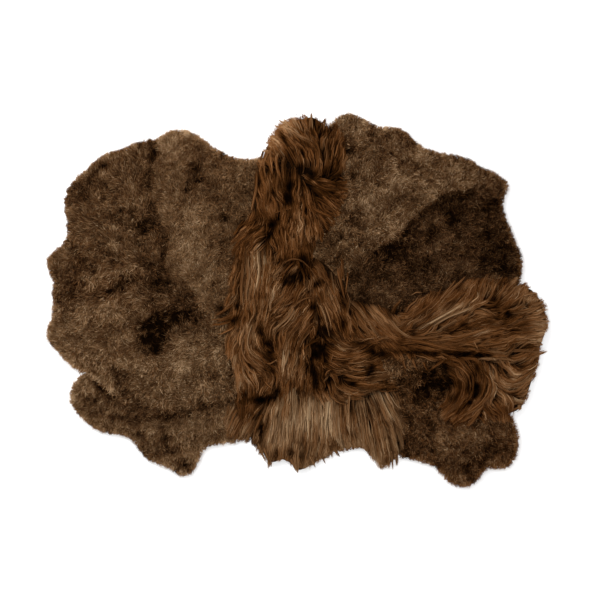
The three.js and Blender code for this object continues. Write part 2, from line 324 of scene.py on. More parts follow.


# Soft spots (x, y, half length, half width, turn, strength), with the turn in degrees: below 0 the wool
# parts or curls down and is darker, mostly painted shade and in places darker wool; above 0 it is
# brushed up and lighter, partly lighter wool and partly painted highlights on crests and along the lips
# and folds where one skin meets the next.
spots_of = {
    "clipped": [
        # clipped upper left
        px_spot(154, 152, 12, 4, 80, -0.3), px_spot(147, 182, 9, 5, 75, -0.28),
        px_spot(142, 170, 16, 9, 10, -0.08), px_spot(82, 198, 9, 7, 20, -0.18),
        px_spot(103, 196, 7, 4, -40, -0.18), px_spot(108, 168, 8, 5, 0, -0.12),
        px_spot(97, 225, 7, 4, -45, -0.2), px_spot(130, 210, 7, 3, 0, -0.14),
        px_spot(157, 208, 6, 4, -40, -0.15), px_spot(150, 227, 13, 6, 0, -0.26),
        px_spot(140, 250, 18, 10, 0, -0.06), px_spot(163, 254, 14, 2.5, 84, -0.32),
        px_spot(161, 275, 9, 4, 75, -0.25), px_spot(155, 265, 14, 10, 90, -0.14),
        px_spot(86, 267, 9, 6, -30, -0.2), px_spot(72, 285, 18, 6, 85, -0.13),
        px_spot(88, 282, 12, 8, 0, 0.08), px_spot(132, 280, 10, 5, 10, -0.2),
        px_spot(103, 295, 11, 5, 10, -0.3), px_spot(120, 292, 10, 5, 0, -0.12),
        px_spot(150, 285, 14, 10, 0, -0.1), px_spot(75, 240, 18, 10, 60, 0.04),
        px_spot(115, 235, 14, 8, 0, 0.06), px_spot(105, 150, 26, 10, 25, 0.04),
        px_spot(110, 205, 20, 12, 0, 0.05),
        # clipped upper left inner
        px_spot(192, 150, 10, 6, -20, -0.14), px_spot(198, 168, 8, 8, -40, -0.28),
        px_spot(197, 182, 6, 4, 0, -0.2), px_spot(188, 190, 5, 3, 0, -0.2),
        px_spot(217, 200, 8, 6, 30, -0.24), px_spot(225, 218, 6, 4, 0, -0.3),
        px_spot(195, 235, 24, 26, 0, 0.1), px_spot(190, 275, 30, 18, -30, 0.1),
        px_spot(172, 200, 14, 10, 90, 0.06), px_spot(225, 250, 14, 9, 80, -0.14),
        px_spot(211, 238, 4, 2, 60, -0.2), px_spot(188, 292, 12, 4, -50, -0.22),
        px_spot(168, 285, 8, 6, 0, -0.12),
        # clipped left
        (-516, -120, 56, 54, 60, -0.75), (-440, -68, 78, 26, 8, -0.42), (-500, -165, 40, 25, 0, -0.22),
        px_spot(185, 313, 22, 6, 10, -0.14), (-560, -55, 50, 18, 0, -0.18),
        px_spot(66, 310, 5, 3, 40, -0.2), px_spot(92, 333, 6, 5, 0, -0.12),
        px_spot(95, 312, 30, 8, 0, 0.03), px_spot(125, 350, 8, 6, 0, -0.14),
        px_spot(195, 365, 35, 18, 0, 0.06), px_spot(200, 390, 24, 10, 10, 0.07),
        px_spot(165, 362, 10, 14, 0, 0.04), px_spot(124, 372, 10, 5, 80, -0.05),
        px_spot(124, 390, 12, 6, -50, -0.26), px_spot(231, 380, 20, 3, 90, -0.22),
        px_spot(230, 345, 10, 6, 0, -0.12), px_spot(225, 312, 12, 7, -30, -0.18),
        px_spot(215, 330, 14, 6, 0, -0.1),
        # clipped lower left
        (-690, -299, 75, 8, -39, 0.34), (-702, -313, 72, 10, -39, -0.4), px_spot(118, 415, 8, 4, 0, -0.2),
        px_spot(135, 418, 22, 5, 0, -0.24), (-768, -235, 36, 10, -30, -0.2),
        px_spot(165, 415, 18, 6, 5, -0.2), px_spot(195, 408, 22, 6, 15, -0.16),
        px_spot(222, 404, 8, 4, 20, -0.14), px_spot(170, 445, 9, 7, -60, -0.42),
        px_spot(183, 465, 8, 6, 0, -0.24), px_spot(150, 428, 16, 4, 0, -0.1),
        # clipped upper right
        px_spot(350, 150, 11, 9, 0, -0.16), px_spot(383, 140, 9, 5, 0, -0.16),
        px_spot(382, 155, 9, 7, 0, -0.15), px_spot(410, 147, 6, 7, 0, -0.16),
        px_spot(412, 162, 12, 5, -15, -0.15), px_spot(352, 177, 5, 4, 60, -0.24),
        px_spot(340, 140, 6, 4, 60, -0.12), px_spot(365, 195, 20, 22, 70, 0.09),
        px_spot(400, 185, 24, 14, 0, 0.05), px_spot(455, 170, 26, 9, -15, 0.08),
        px_spot(385, 207, 8, 8, 0, -0.07), px_spot(355, 228, 14, 8, 60, -0.08),
        px_spot(335, 245, 16, 10, 0, -0.16), px_spot(330, 262, 14, 8, 0, -0.2),
        px_spot(365, 243, 16, 6, 0, -0.13),
        # clipped right
        (331, 234, 72, 8, 40, 0.24), (345, 217, 75, 10, 40, -0.34), px_spot(393, 247, 12, 7, 35, -0.24),
        px_spot(410, 228, 10, 6, 60, -0.12), px_spot(425, 225, 14, 7, 0, 0.14),
        px_spot(436, 248, 22, 10, 0, 0.15), px_spot(455, 218, 9, 6, 0, -0.2),
        px_spot(480, 207, 20, 8, 10, -0.13), px_spot(455, 197, 16, 4, 10, -0.08),
        px_spot(490, 182, 14, 10, 0, 0.14), px_spot(475, 187, 10, 6, 0, 0.08),
        px_spot(490, 217, 12, 5, 0, 0.1), px_spot(480, 240, 16, 8, 0, 0.04),
        px_spot(507, 266, 10, 9, 0, -0.22), px_spot(488, 265, 14, 5, 0, -0.14),
        px_spot(505, 235, 16, 9, 110, -0.1), px_spot(350, 272, 10, 9, 0, -0.14),
        px_spot(375, 290, 24, 8, -5, 0.15), px_spot(455, 265, 16, 6, 0, 0.08),
        px_spot(400, 278, 10, 10, 0, -0.1), px_spot(450, 255, 8, 5, 0, -0.1),
        # clipped lower right
        px_spot(430, 385, 16, 14, 0, -0.48), px_spot(405, 385, 12, 12, 0, -0.2),
        px_spot(440, 378, 10, 9, 40, -0.2), px_spot(388, 378, 9, 7, 0, 0.2),
        px_spot(388, 395, 8, 6, 30, 0.06), px_spot(425, 425, 6, 8, 70, -0.1),
        px_spot(407, 442, 8, 8, 0, -0.12), px_spot(465, 432, 24, 14, 10, 0.14),
        px_spot(450, 455, 20, 8, -20, 0.1), px_spot(495, 452, 10, 8, 20, -0.22),
        px_spot(470, 467, 14, 6, 20, -0.2), px_spot(462, 478, 14, 5, 0, 0.06),
        px_spot(400, 420, 6, 14, 90, -0.12), px_spot(380, 365, 7, 6, 0, 0.1),
        px_spot(378, 378, 6, 4, 80, -0.2),
    ],
    "long": [
        # long top
        px_spot(288, 190, 16, 4, 88, -0.45), px_spot(301, 169, 6, 4, 60, -0.3),
        px_spot(276, 221, 7, 3.5, 30, -0.4), px_spot(269, 234, 7, 4, 70, -0.42),
        px_spot(252, 230, 14, 8, 0, -0.08), px_spot(258, 180, 10, 3, -60, -0.16),
        px_spot(283, 138, 7, 2.5, -60, -0.22), px_spot(303, 152, 10, 2.5, -65, -0.22),
        px_spot(315, 152, 9, 2, -80, -0.18), px_spot(290, 126, 12, 8, 0, 0.3),
        px_spot(272, 138, 10, 7, 90, 0.16), px_spot(262, 165, 14, 6, 90, 0.08),
        px_spot(328, 180, 14, 5, 0, -0.08), px_spot(310, 185, 8, 10, 0, -0.12),
        px_spot(295, 232, 20, 10, 90, 0.04), (85, 447, 60, 19, -8, -0.28), (95, 350, 60, 75, 0, -0.07),
        (-120, 250, 60, 45, 0, -0.12), px_spot(258, 200, 16, 10, 80, 0.06),
        # long centre
        px_spot(257, 262, 22, 10, 90, 0.3), px_spot(288, 281, 6, 5, 0, -0.45),
        px_spot(303, 262, 10, 5, 0, -0.3), px_spot(318, 282, 6, 6, 0, -0.38),
        px_spot(300, 275, 8, 8, 0, -0.2), px_spot(283, 262, 4, 3, 0, -0.28),
        px_spot(246, 272, 12, 2, 88, -0.28), px_spot(265, 283, 5, 3, 90, -0.2),
        px_spot(340, 272, 14, 2, 90, 0.16), px_spot(334, 302, 14, 4, -60, 0.18),
        px_spot(344, 295, 12, 4, 90, -0.24), px_spot(318, 315, 14, 5, -60, -0.38),
        px_spot(325, 332, 8, 5, 80, -0.38), px_spot(318, 352, 14, 9, -60, -0.42),
        px_spot(320, 382, 10, 7, -20, -0.45), px_spot(312, 370, 8, 4, -60, -0.3),
        px_spot(262, 337, 14, 3.5, -65, -0.3), px_spot(270, 350, 8, 5, -50, -0.3),
        px_spot(270, 370, 7, 6, -50, -0.32), px_spot(266, 400, 13, 4, 0, -0.5),
        px_spot(277, 390, 8, 4, 90, -0.3), px_spot(250, 395, 10, 5, -20, -0.25),
        px_spot(252, 340, 18, 5, 100, 0.08), px_spot(285, 355, 18, 4, 88, 0.22),
        px_spot(290, 320, 16, 8, 35, 0.04), px_spot(345, 330, 10, 9, 0, -0.26),
        px_spot(350, 345, 22, 4, 0, -0.14), px_spot(365, 345, 8, 8, 0, -0.08),
        px_spot(340, 362, 5, 4, 0, -0.26), px_spot(372, 368, 14, 3, 85, -0.36),
        px_spot(355, 360, 16, 3, 5, 0.1), px_spot(345, 372, 14, 3, -5, 0.06),
        px_spot(352, 384, 6, 3, 0, -0.28), px_spot(232, 320, 8, 4, -50, -0.22),
        px_spot(238, 310, 14, 3, 85, -0.18),
        # long lower
        px_spot(300, 415, 20, 18, 90, 0.12), px_spot(325, 418, 26, 5, 88, 0.22),
        (32, -415, 75, 50, 0, 0.07), px_spot(285, 430, 18, 6, 85, 0.1),
        px_spot(262, 425, 22, 8, 85, -0.16), px_spot(250, 415, 10, 8, 0, -0.1),
        (-45, -545, 90, 22, -5, -0.2), (80, -525, 60, 24, 8, -0.16), (330, -560, 60, 36, 0, -0.1),
        px_spot(345, 436, 14, 6, 0, -0.08), px_spot(330, 392, 14, 4, 0, -0.2),
        # long right
        px_spot(450, 312, 26, 8, 15, 0.26), px_spot(430, 328, 10, 5, 20, 0.08),
        px_spot(465, 290, 14, 10, 50, 0.04), px_spot(495, 285, 14, 10, 80, 0.05),
        (742, -47, 42, 19, 10, -0.5), px_spot(525, 300, 18, 16, 0, 0.16),
        px_spot(540, 335, 20, 10, 90, 0.2), px_spot(475, 355, 16, 2.5, -5, -0.45),
        px_spot(490, 359, 14, 2, 5, 0.25), px_spot(430, 354, 50, 2.5, -2, -0.28),
        px_spot(372, 353, 14, 3, -10, -0.3), px_spot(436, 372, 8, 4, 20, -0.38),
        px_spot(477, 378, 16, 2.5, 88, -0.42), px_spot(470, 402, 9, 2.5, 50, -0.4),
        px_spot(463, 385, 20, 4, 95, 0.12), px_spot(492, 378, 14, 4, 95, 0.14),
        px_spot(478, 408, 16, 3, 40, 0.16), (770, -260, 85, 60, 80, 0.14),
        px_spot(470, 325, 18, 4, 10, -0.12), px_spot(408, 345, 12, 4, -10, -0.18),
        px_spot(385, 330, 20, 4, -48, 0.1), px_spot(370, 312, 14, 5, -50, 0.04),
        px_spot(460, 340, 40, 4, -4, 0.02), px_spot(500, 335, 16, 4, 8, -0.05),
        (610, -313, 75, 60, 0, -0.27),
    ],
}


def spotted(marks):
    """The sum of the soft spots on the height grid: each is its strength times a bell curve of the
    distance from it, measured along and across its turned length and width."""
    total = np.zeros(len(grid))
    for x, y, length, width, turn, strength in marks:
        away, turn = grid / mm - [x, y], np.radians(turn)
        along = (away @ [np.cos(turn), np.sin(turn)]) / length
        across = (away @ [-np.sin(turn), np.cos(turn)]) / width
        total += strength * np.exp(-(along**2 + across**2))
    return total.reshape(tall, wide)


shade = {wool: spotted(spots_of[wool]) for wool in spots_of}
broken = {
    "clipped": 1 + 0.45 * clouds(seam, 5 * mm, 4),
    "long": 1 + 0.7 * clouds(seam, 8 * mm, 4),
}
shade = {w: np.maximum(shade[w], 0) + np.minimum(shade[w] * np.maximum(broken[w], 0.4), 0) for w in shade}
pile = top["clipped"] * (1 - long_share) * (1 + 0.5 * np.minimum(shade["clipped"], 0))
dip, rise = np.minimum(shade["long"], 0), np.maximum(shade["long"], 0)
pile += top["long"] * long_share * (1 + 0.9 * dip + 0.35 * rise)
pile *= 1 - 0.14 * seam * (1 - long_share)
pile *= 1 + 0.035 * clouds(pile, 16 * mm, 1) * (1 - long_share) + 0.08 * clouds(pile, 18 * mm, 2) * long_share
pile += leather * on_rug


# The clipped wool: seven skins shorn to about 3 cm, where it springs into small curls that part in
# crevices, darkened with painted shade. Each is a bed of wool with short fine blades standing out of it,
# leaning together.
bed_cell = 9 * mm
bed_lap = 2.5 * mm
blade_every = 3.5 * mm
fringe_every = 2.5 * mm
curl_every = 13 * mm
blade_width = 2.7 * mm
blade_steps = 3
map_start, map_run = 0.03, 0.92
naps = {  # (x, y, heading): which way the clipped wool leans there, in mm and degrees from +X
    "skin_upper_left": [
        (-545, 535, 90), (-690, 490, 120), (-785, 420, 135), (-830, 330, 165), (-710, 375, 150),
        (-620, 260, 120), (-520, 250, 90), (-880, 120, 195), (-760, 140, 210), (-600, 30, 240),
        (-450, 40, 150),
    ],
    "skin_upper_left_inner": [
        (-430, 560, 75), (-300, 520, 60), (-230, 420, 90), (-430, 150, 90), (-320, 210, 75), (-390, 60, 135),
    ],
    "skin_left": [
        (-850, -120, 190), (-760, -190, 200), (-670, -115, 230), (-560, -60, 195), (-400, -60, 190),
        (-440, -160, 210), (-330, -160, 225), (-390, -335, 210), (-265, -240, 255), (-560, -260, 210),
    ],
    "skin_lower_left": [
        (-760, -370, 225), (-680, -360, 240), (-560, -420, 210), (-330, -390, 220), (-350, -460, 255),
        (-440, -540, 270),
    ],
    "skin_upper_right": [
        (160, 610, 10), (300, 570, 345), (400, 560, 0), (230, 350, 80), (300, 420, 60), (370, 340, 50),
        (150, 240, 105), (280, 230, 45), (560, 450, 15),
    ],
    "skin_right": [
        (400, 290, 45), (300, 150, 30), (250, 50, 75), (500, 110, 75), (470, 200, 30), (640, 290, 0),
        (700, 430, 45), (770, 150, 0),
    ],
    "skin_lower_right": [
        (325, -310, 315), (430, -260, 345), (420, -400, 315), (390, -470, 270), (540, -470, 240),
        (650, -450, 240), (560, -600, 255), (740, -520, 285),
    ],
}
nap_reach = 50
clipped_tone = {
    "skin_upper_left": 0.505, "skin_upper_left_inner": 0.63, "skin_left": 0.635, "skin_lower_left": 0.65,
    "skin_upper_right": 0.63, "skin_right": 0.385, "skin_lower_right": 0.51,
}
clipped_warmth = {
    "skin_upper_left": 0.3, "skin_upper_left_inner": 0.3, "skin_left": 0.25, "skin_lower_left": 0.2,
    "skin_upper_right": 0.3, "skin_right": 0.28, "skin_lower_right": 0.45,
}
sweep = {  # how far the blades lean along the nap, in mm
    "skin_upper_left": 13, "skin_upper_left_inner": 8, "skin_left": 10, "skin_lower_left": 8,
    "skin_upper_right": 8, "skin_right": 7, "skin_lower_right": 7,
}
clipped_spread = {  # how far single blades stray from their skin's tone
    "skin_upper_left": 0.15, "skin_upper_left_inner": 0.10, "skin_left": 0.14, "skin_lower_left": 0.10,
    "skin_upper_right": 0.14, "skin_right": 0.10, "skin_lower_right": 0.11,
}


def sown(skin, every, seed, short):
    """Points scattered over the skin: a square grid of that spacing, each point moved at random inside
    its own cell."""
    low_corner, high_corner = cut[skin].reshape(-1, 2).min(0), cut[skin].reshape(-1, 2).max(0)
    x, y = (np.arange(low_corner[i], high_corner[i], every) for i in (0, 1))
    points = np.stack(np.meshgrid(x, y), axis=-1).reshape(-1, 2)
    points += np.random.default_rng(seed).uniform(0, every, points.shape)
    keep = inside(points, cut[skin])
    points = points[keep]
    return points[read(from_rim, points) > short]


def heading(points, marks, reach):
    """The heading at any points (n, 2): the marks' own, averaged with weights 1 / (distance² + reach²)²,
    in mm."""
    x, y, angle = np.array(marks, float).T
    toward = np.stack([np.cos(np.radians(angle)), np.sin(np.radians(angle))], axis=1)
    apart = points[:, None] / mm - np.stack([x, y], axis=1)
    weight = 1 / ((apart**2).sum(2) + reach**2) ** 2
    return np.arctan2(*(weight @ toward).T[::-1])


def ribbons(path, side, width, tone, warmth, bare):
    """Flat tapering strands. path (n, k, 3) runs from root to tip and side (n, k, 3) points across. The
    two edges are the path plus and minus half the width along side, and meet at the tip. On the map a
    strand lies at U = its tone and V = its band of warmth, from root to tip, and bare (n,) is the share
    of that run it leaves out at the root."""
    count, steps = path.shape[:2]
    half = side * (width / 2)[..., None]
    points = np.concatenate([path[:, :-1] - half[:, :-1], path[:, :-1] + half[:, :-1], path[:, -1:]], axis=1)
    first = np.arange(count)[:, None] * (2 * steps - 1)
    rung = np.arange(steps - 2)
    quads = np.stack([rung, rung + steps - 1, rung + steps, rung + 1], axis=-1)[None] + first[..., None]
    tips = np.array([steps - 2, 2 * steps - 3, 2 * steps - 2])[None] + first
    # bare leaves out the root end of the run, so less of the strand takes the painted shade of the root.
    along = 1 - (1 - bare[:, None]) * np.linspace(1, 0, steps)
    band = np.clip(np.floor(warmth * 4), 0, 3)[:, None]
    v = 0.5 + (band + 0.06 + 0.88 * along) / 8
    u = map_start + map_run * np.clip(tone, 0, 1)
    uv = np.concatenate(
        [np.stack([u[:, :-1] - 0.012, v[:, :-1]], -1), np.stack([u[:, :-1] + 0.012, v[:, :-1]], -1),
         np.stack([u[:, -1:], v[:, -1:]], -1)], axis=1)
    return points.reshape(-1, 3), quads.reshape(-1, 4), tips, uv.reshape(-1, 2)


def grown(skin, strands, bed_share, bed_tone, looks):
    """A skin's wool as one mesh: its bed, a trimmed grid at a share of the pile's height, and its strands.
    The bed's own tone is kept at its points."""
    bed, cells = trimmed(skin, short_of_rim[wool_of[skin]], bed_cell, bed_lap)
    box_low, box_high = cut[skin].reshape(-1, 2).min(0), cut[skin].reshape(-1, 2).max(0)
    flat = 0.02 + (bed - box_low) / (box_high - box_low) * [0.96, 0.44]
    height = leather + bed_share * np.maximum(read(pile, bed) - leather, 0)
    points, quads, tips, uv = strands
    piece = made(
        skin.replace("skin", "wool"),
        np.concatenate([np.c_[bed, height], points]),
        [(0, cells), (1, quads + len(bed)), (1, tips + len(bed))],
        looks,
        np.concatenate([flat, uv]),
    )
    tone = np.zeros(len(piece.data.vertices), np.float32)
    tone[: len(bed)] = read(bed_tone, bed)
    piece.data.attributes.new("tone", "FLOAT", "POINT").data.foreach_set("value", tone)
    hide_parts(skin)


taupe_stops = [
    (0.0, (0.004, 0.0018, 0.0007, 1)), (0.25, (0.035, 0.0158, 0.0060, 1)), (0.5, (0.124, 0.063, 0.027, 1)),
    (0.75, (0.260, 0.150, 0.072, 1)), (1.0, (0.51, 0.34, 0.19, 1))]
russet_stops = [
    (0.0, (0.005, 0.0018, 0.0005, 1)), (0.25, (0.041, 0.0138, 0.0028, 1)), (0.5, (0.150, 0.055, 0.0155, 1)),
    (0.75, (0.30, 0.143, 0.058, 1)), (1.0, (0.54, 0.34, 0.18, 1))]

# The colour each strand darkens to at its root: painted shade deep in the pile, and the wool's own darker
# roots.
shaded_root_brown = (0.010, 0.005, 0.002, 1)


def shaded_underwool(start):
    """Between the blades: the skin's own tone, darkened with painted shade down in the pile, with tight curls
    about 8 mm across.
    """
    where = start.node("TexCoord", {}, {}, "Object")
    curls = start.node("TexNoise", {}, {"Vector": where, "Scale": 150.0, "Detail": 3.0, "Distortion": 0.6})
    tone = start.node("Attribute", {"attribute_name": "tone"}, {}, "Fac")
    return start.node("ValToRGB", {"stops": taupe_stops}, {"Fac": tone - 0.1 + 0.5 * (curls - 0.5)}), curls


def wool_colour(start):
    """A strand's colour from the map: U is its tone, from near black to pale gold, and V holds four bands
    from taupe to russet, each running from the shaded root to the lighter tip."""
    place = start.node("UVMap", {"uv_map": "OFBake"}, {}, "UV")
    across = start.node("SeparateXYZ", {}, {0: place}, "X")
    up = (start.node("SeparateXYZ", {}, {0: place}, "Y") - 0.5) * 8.0
    tone = (across - map_start) * (1 / map_run)
    warmth = start.maths("FLOOR", up) * (1 / 3)
    along = start.maths("FRACT", up)
    grain = {"Vector": place, "Scale": 260.0, "Detail": 1.0}
    streak = start.node("TexNoise", {"noise_dimensions": "2D"}, grain)
    tone = tone + 0.12 * (streak - 0.5)
    taupe = start.node("ValToRGB", {"stops": taupe_stops}, {"Fac": tone})
    russet = start.node("ValToRGB", {"stops": russet_stops}, {"Fac": tone})
    # Painted shade towards the root, over the wool's own darker roots.
    shade = start.maths("POWER", 1.0 - along, 1.6) * 0.55
    return taupe.mixed(warmth, russet).mixed(shade, shaded_root_brown), None


bed_look = finish_of("wool_bed", shaded_underwool, Roughness=1.0, Specular_IOR_Level=0.0)
wool_look = finish_of("wool_strands", wool_colour, Roughness=0.8, Specular_IOR_Level=0.0)
clipped_slots = {
    "skin_upper_left": "clipped_brown", "skin_left": "clipped_brown", "skin_lower_left": "clipped_brown",
    "skin_upper_left_inner": "clipped_light", "skin_upper_right": "clipped_light",
    "skin_right": "clipped_dark", "skin_lower_right": "clipped_dark",
}
curliness = eased(0.5 + 0.5 * clouds(pile, 22 * mm, 15))
# Painted shade in the crevices between curls: the darkest parts of fine clouds, more where the wool curls.
crevice_shade = np.maximum(clouds(pile, 4.5 * mm, 12) - 0.7, 0) * (0.06 + 0.14 * curliness)
mottle_light_and_shade = 0.05 * clouds(pile, 7 * mm, 10) + 0.05 * clouds(pile, 14 * mm, 11) + 0.03 * clouds(pile, 45 * mm, 13)
# The blades' tone: random mottle, the soft spots (painted shade and highlights, and lighter and darker wool),
# painted shade in the crevices and painted shade along the seams.
mottle_light_and_shade += shade["clipped"] - crevice_shade - 0.07 * seam
wander = 42 * clouds(pile, 20 * mm, 14)
tufts = clouds(pile, 4.5 * mm, 16)
outward = np.stack(np.gradient(-softened(on_rug * 1.0, 8 * mm), height_cell, axis=(1, 0)), axis=-1) * 16 * mm

for number, (skin, slot) in enumerate(clipped_slots.items()):
    chance = np.random.default_rng(100 + number)
    root = sown(skin, blade_every, 200 + number, 2 * mm)
    fringe = sown(skin, fringe_every, 250 + number, 0)
    root = np.concatenate([root, fringe[read(from_rim, fringe) < 12 * mm]])
    count = len(root)
    curls = sown(skin, curl_every, 300 + number, 0)
    nearest = np.empty(count, int)
    for part in np.array_split(np.arange(count), 12):
        nearest[part] = ((root[part, None] - curls) ** 2).sum(2).argmin(1)
    to_curl = curls[nearest] - root
    spin = chance.choice([-1, 1], len(curls))[nearest][:, None]
    around = np.stack([-to_curl[:, 1], to_curl[:, 0]], axis=1) * spin
    nap = heading(root, naps[skin], nap_reach) + np.radians(read(wander, root))
    curly = read(curliness, root)[:, None]
    at_rim = np.exp(-np.maximum(read(from_rim, root), 0) / (10 * mm))[:, None]
    toward = np.stack([np.cos(nap), np.sin(nap)], axis=1)
    lean = sweep[skin] * (1 - 0.45 * curly) * mm * toward * (1 - 0.8 * at_rim)
    lean += (0.2 + curly) * (0.5 * to_curl + 0.9 * around) * (1 - at_rim)
    lean += chance.normal(0, 4.2 * mm, (count, 2)) * (1 - 0.4 * at_rim)
    out = np.stack([read(outward[..., i], root) for i in (0, 1)], axis=1)
    lean += 19 * mm * out * chance.uniform(0.6, 1.4, (count, 1))
    hook = spin * 0.5 * curly + chance.normal(0, 0.3, (count, 1))
    bend = np.stack([-lean[:, 1], lean[:, 0]], axis=1) * hook
    surface = read(pile, root)
    rise = surface * chance.uniform(0.28, 0.5, count)
    t = np.linspace(0, 1, blade_steps)[None, :, None]
    foot = surface - rise + chance.normal(0, 0.9 * mm, count)
    plan = root[:, None] + lean[:, None] * t**1.3 + bend[:, None] * t * t
    free = (5 + 3 * read(tufts, root) + 13 * chance.uniform(0, 1, count) ** 2) * mm
    over = np.maximum(-read(from_rim, plan[:, -1]) - np.maximum(free, 0), 0)
    out /= np.maximum(np.linalg.norm(out, axis=1, keepdims=True), 1e-6)
    plan -= (over[:, None] * out)[:, None] * t * t
    height = foot[:, None, None] + rise[:, None, None] * (2 * t - t**2) - at_rim[:, None] * 7 * mm * t * t
    path = np.concatenate([plan, np.maximum(height, 1 * mm)], axis=2)
    turn = np.arctan2(lean[:, 1], lean[:, 0]) + np.pi / 2 + chance.normal(0, 0.3, count)
    side = np.stack([np.cos(turn), np.sin(turn), chance.normal(0, 0.45, count)], axis=1)
    side = np.repeat(side[:, None] / np.linalg.norm(side, axis=1)[:, None, None], blade_steps, axis=1)
    width = blade_width * chance.uniform(0.7, 1.25, count)[:, None]
    width = width * (1 - 0.25 * at_rim) * (1 - 0.2 * t[:, :, 0])
    gap = np.linalg.norm(to_curl, axis=1) / curl_every
    tone = clipped_tone[skin] + read(mottle_light_and_shade, root)
    tone += clipped_spread[skin] * chance.standard_normal(count)
    tone += (0.06 * chance.standard_normal(len(curls)))[nearest]
    # Painted shade on the blades far from their curl's middle, where the curls part.
    tone -= (0.1 + 0.25 * curly[:, 0]) * np.maximum(gap - 0.35, 0)
    # Painted light on the fringe at the rim.
    tone += 0.22 * at_rim[:, 0]
    warmth = clipped_warmth[skin] + 0.2 * at_rim[:, 0] + 0.14 * chance.standard_normal(count)
    tone = np.repeat(tone[:, None], blade_steps, axis=1)
    strands = ribbons(path, side, width, tone, warmth, 0.75 * at_rim[:, 0])
    # The bed under the blades is darker than they are: painted shade down in the pile.
    grown(skin, strands, 0.62, clipped_tone[skin] - 0.08 + mottle_light_and_shade, [bed_look, wool_look])


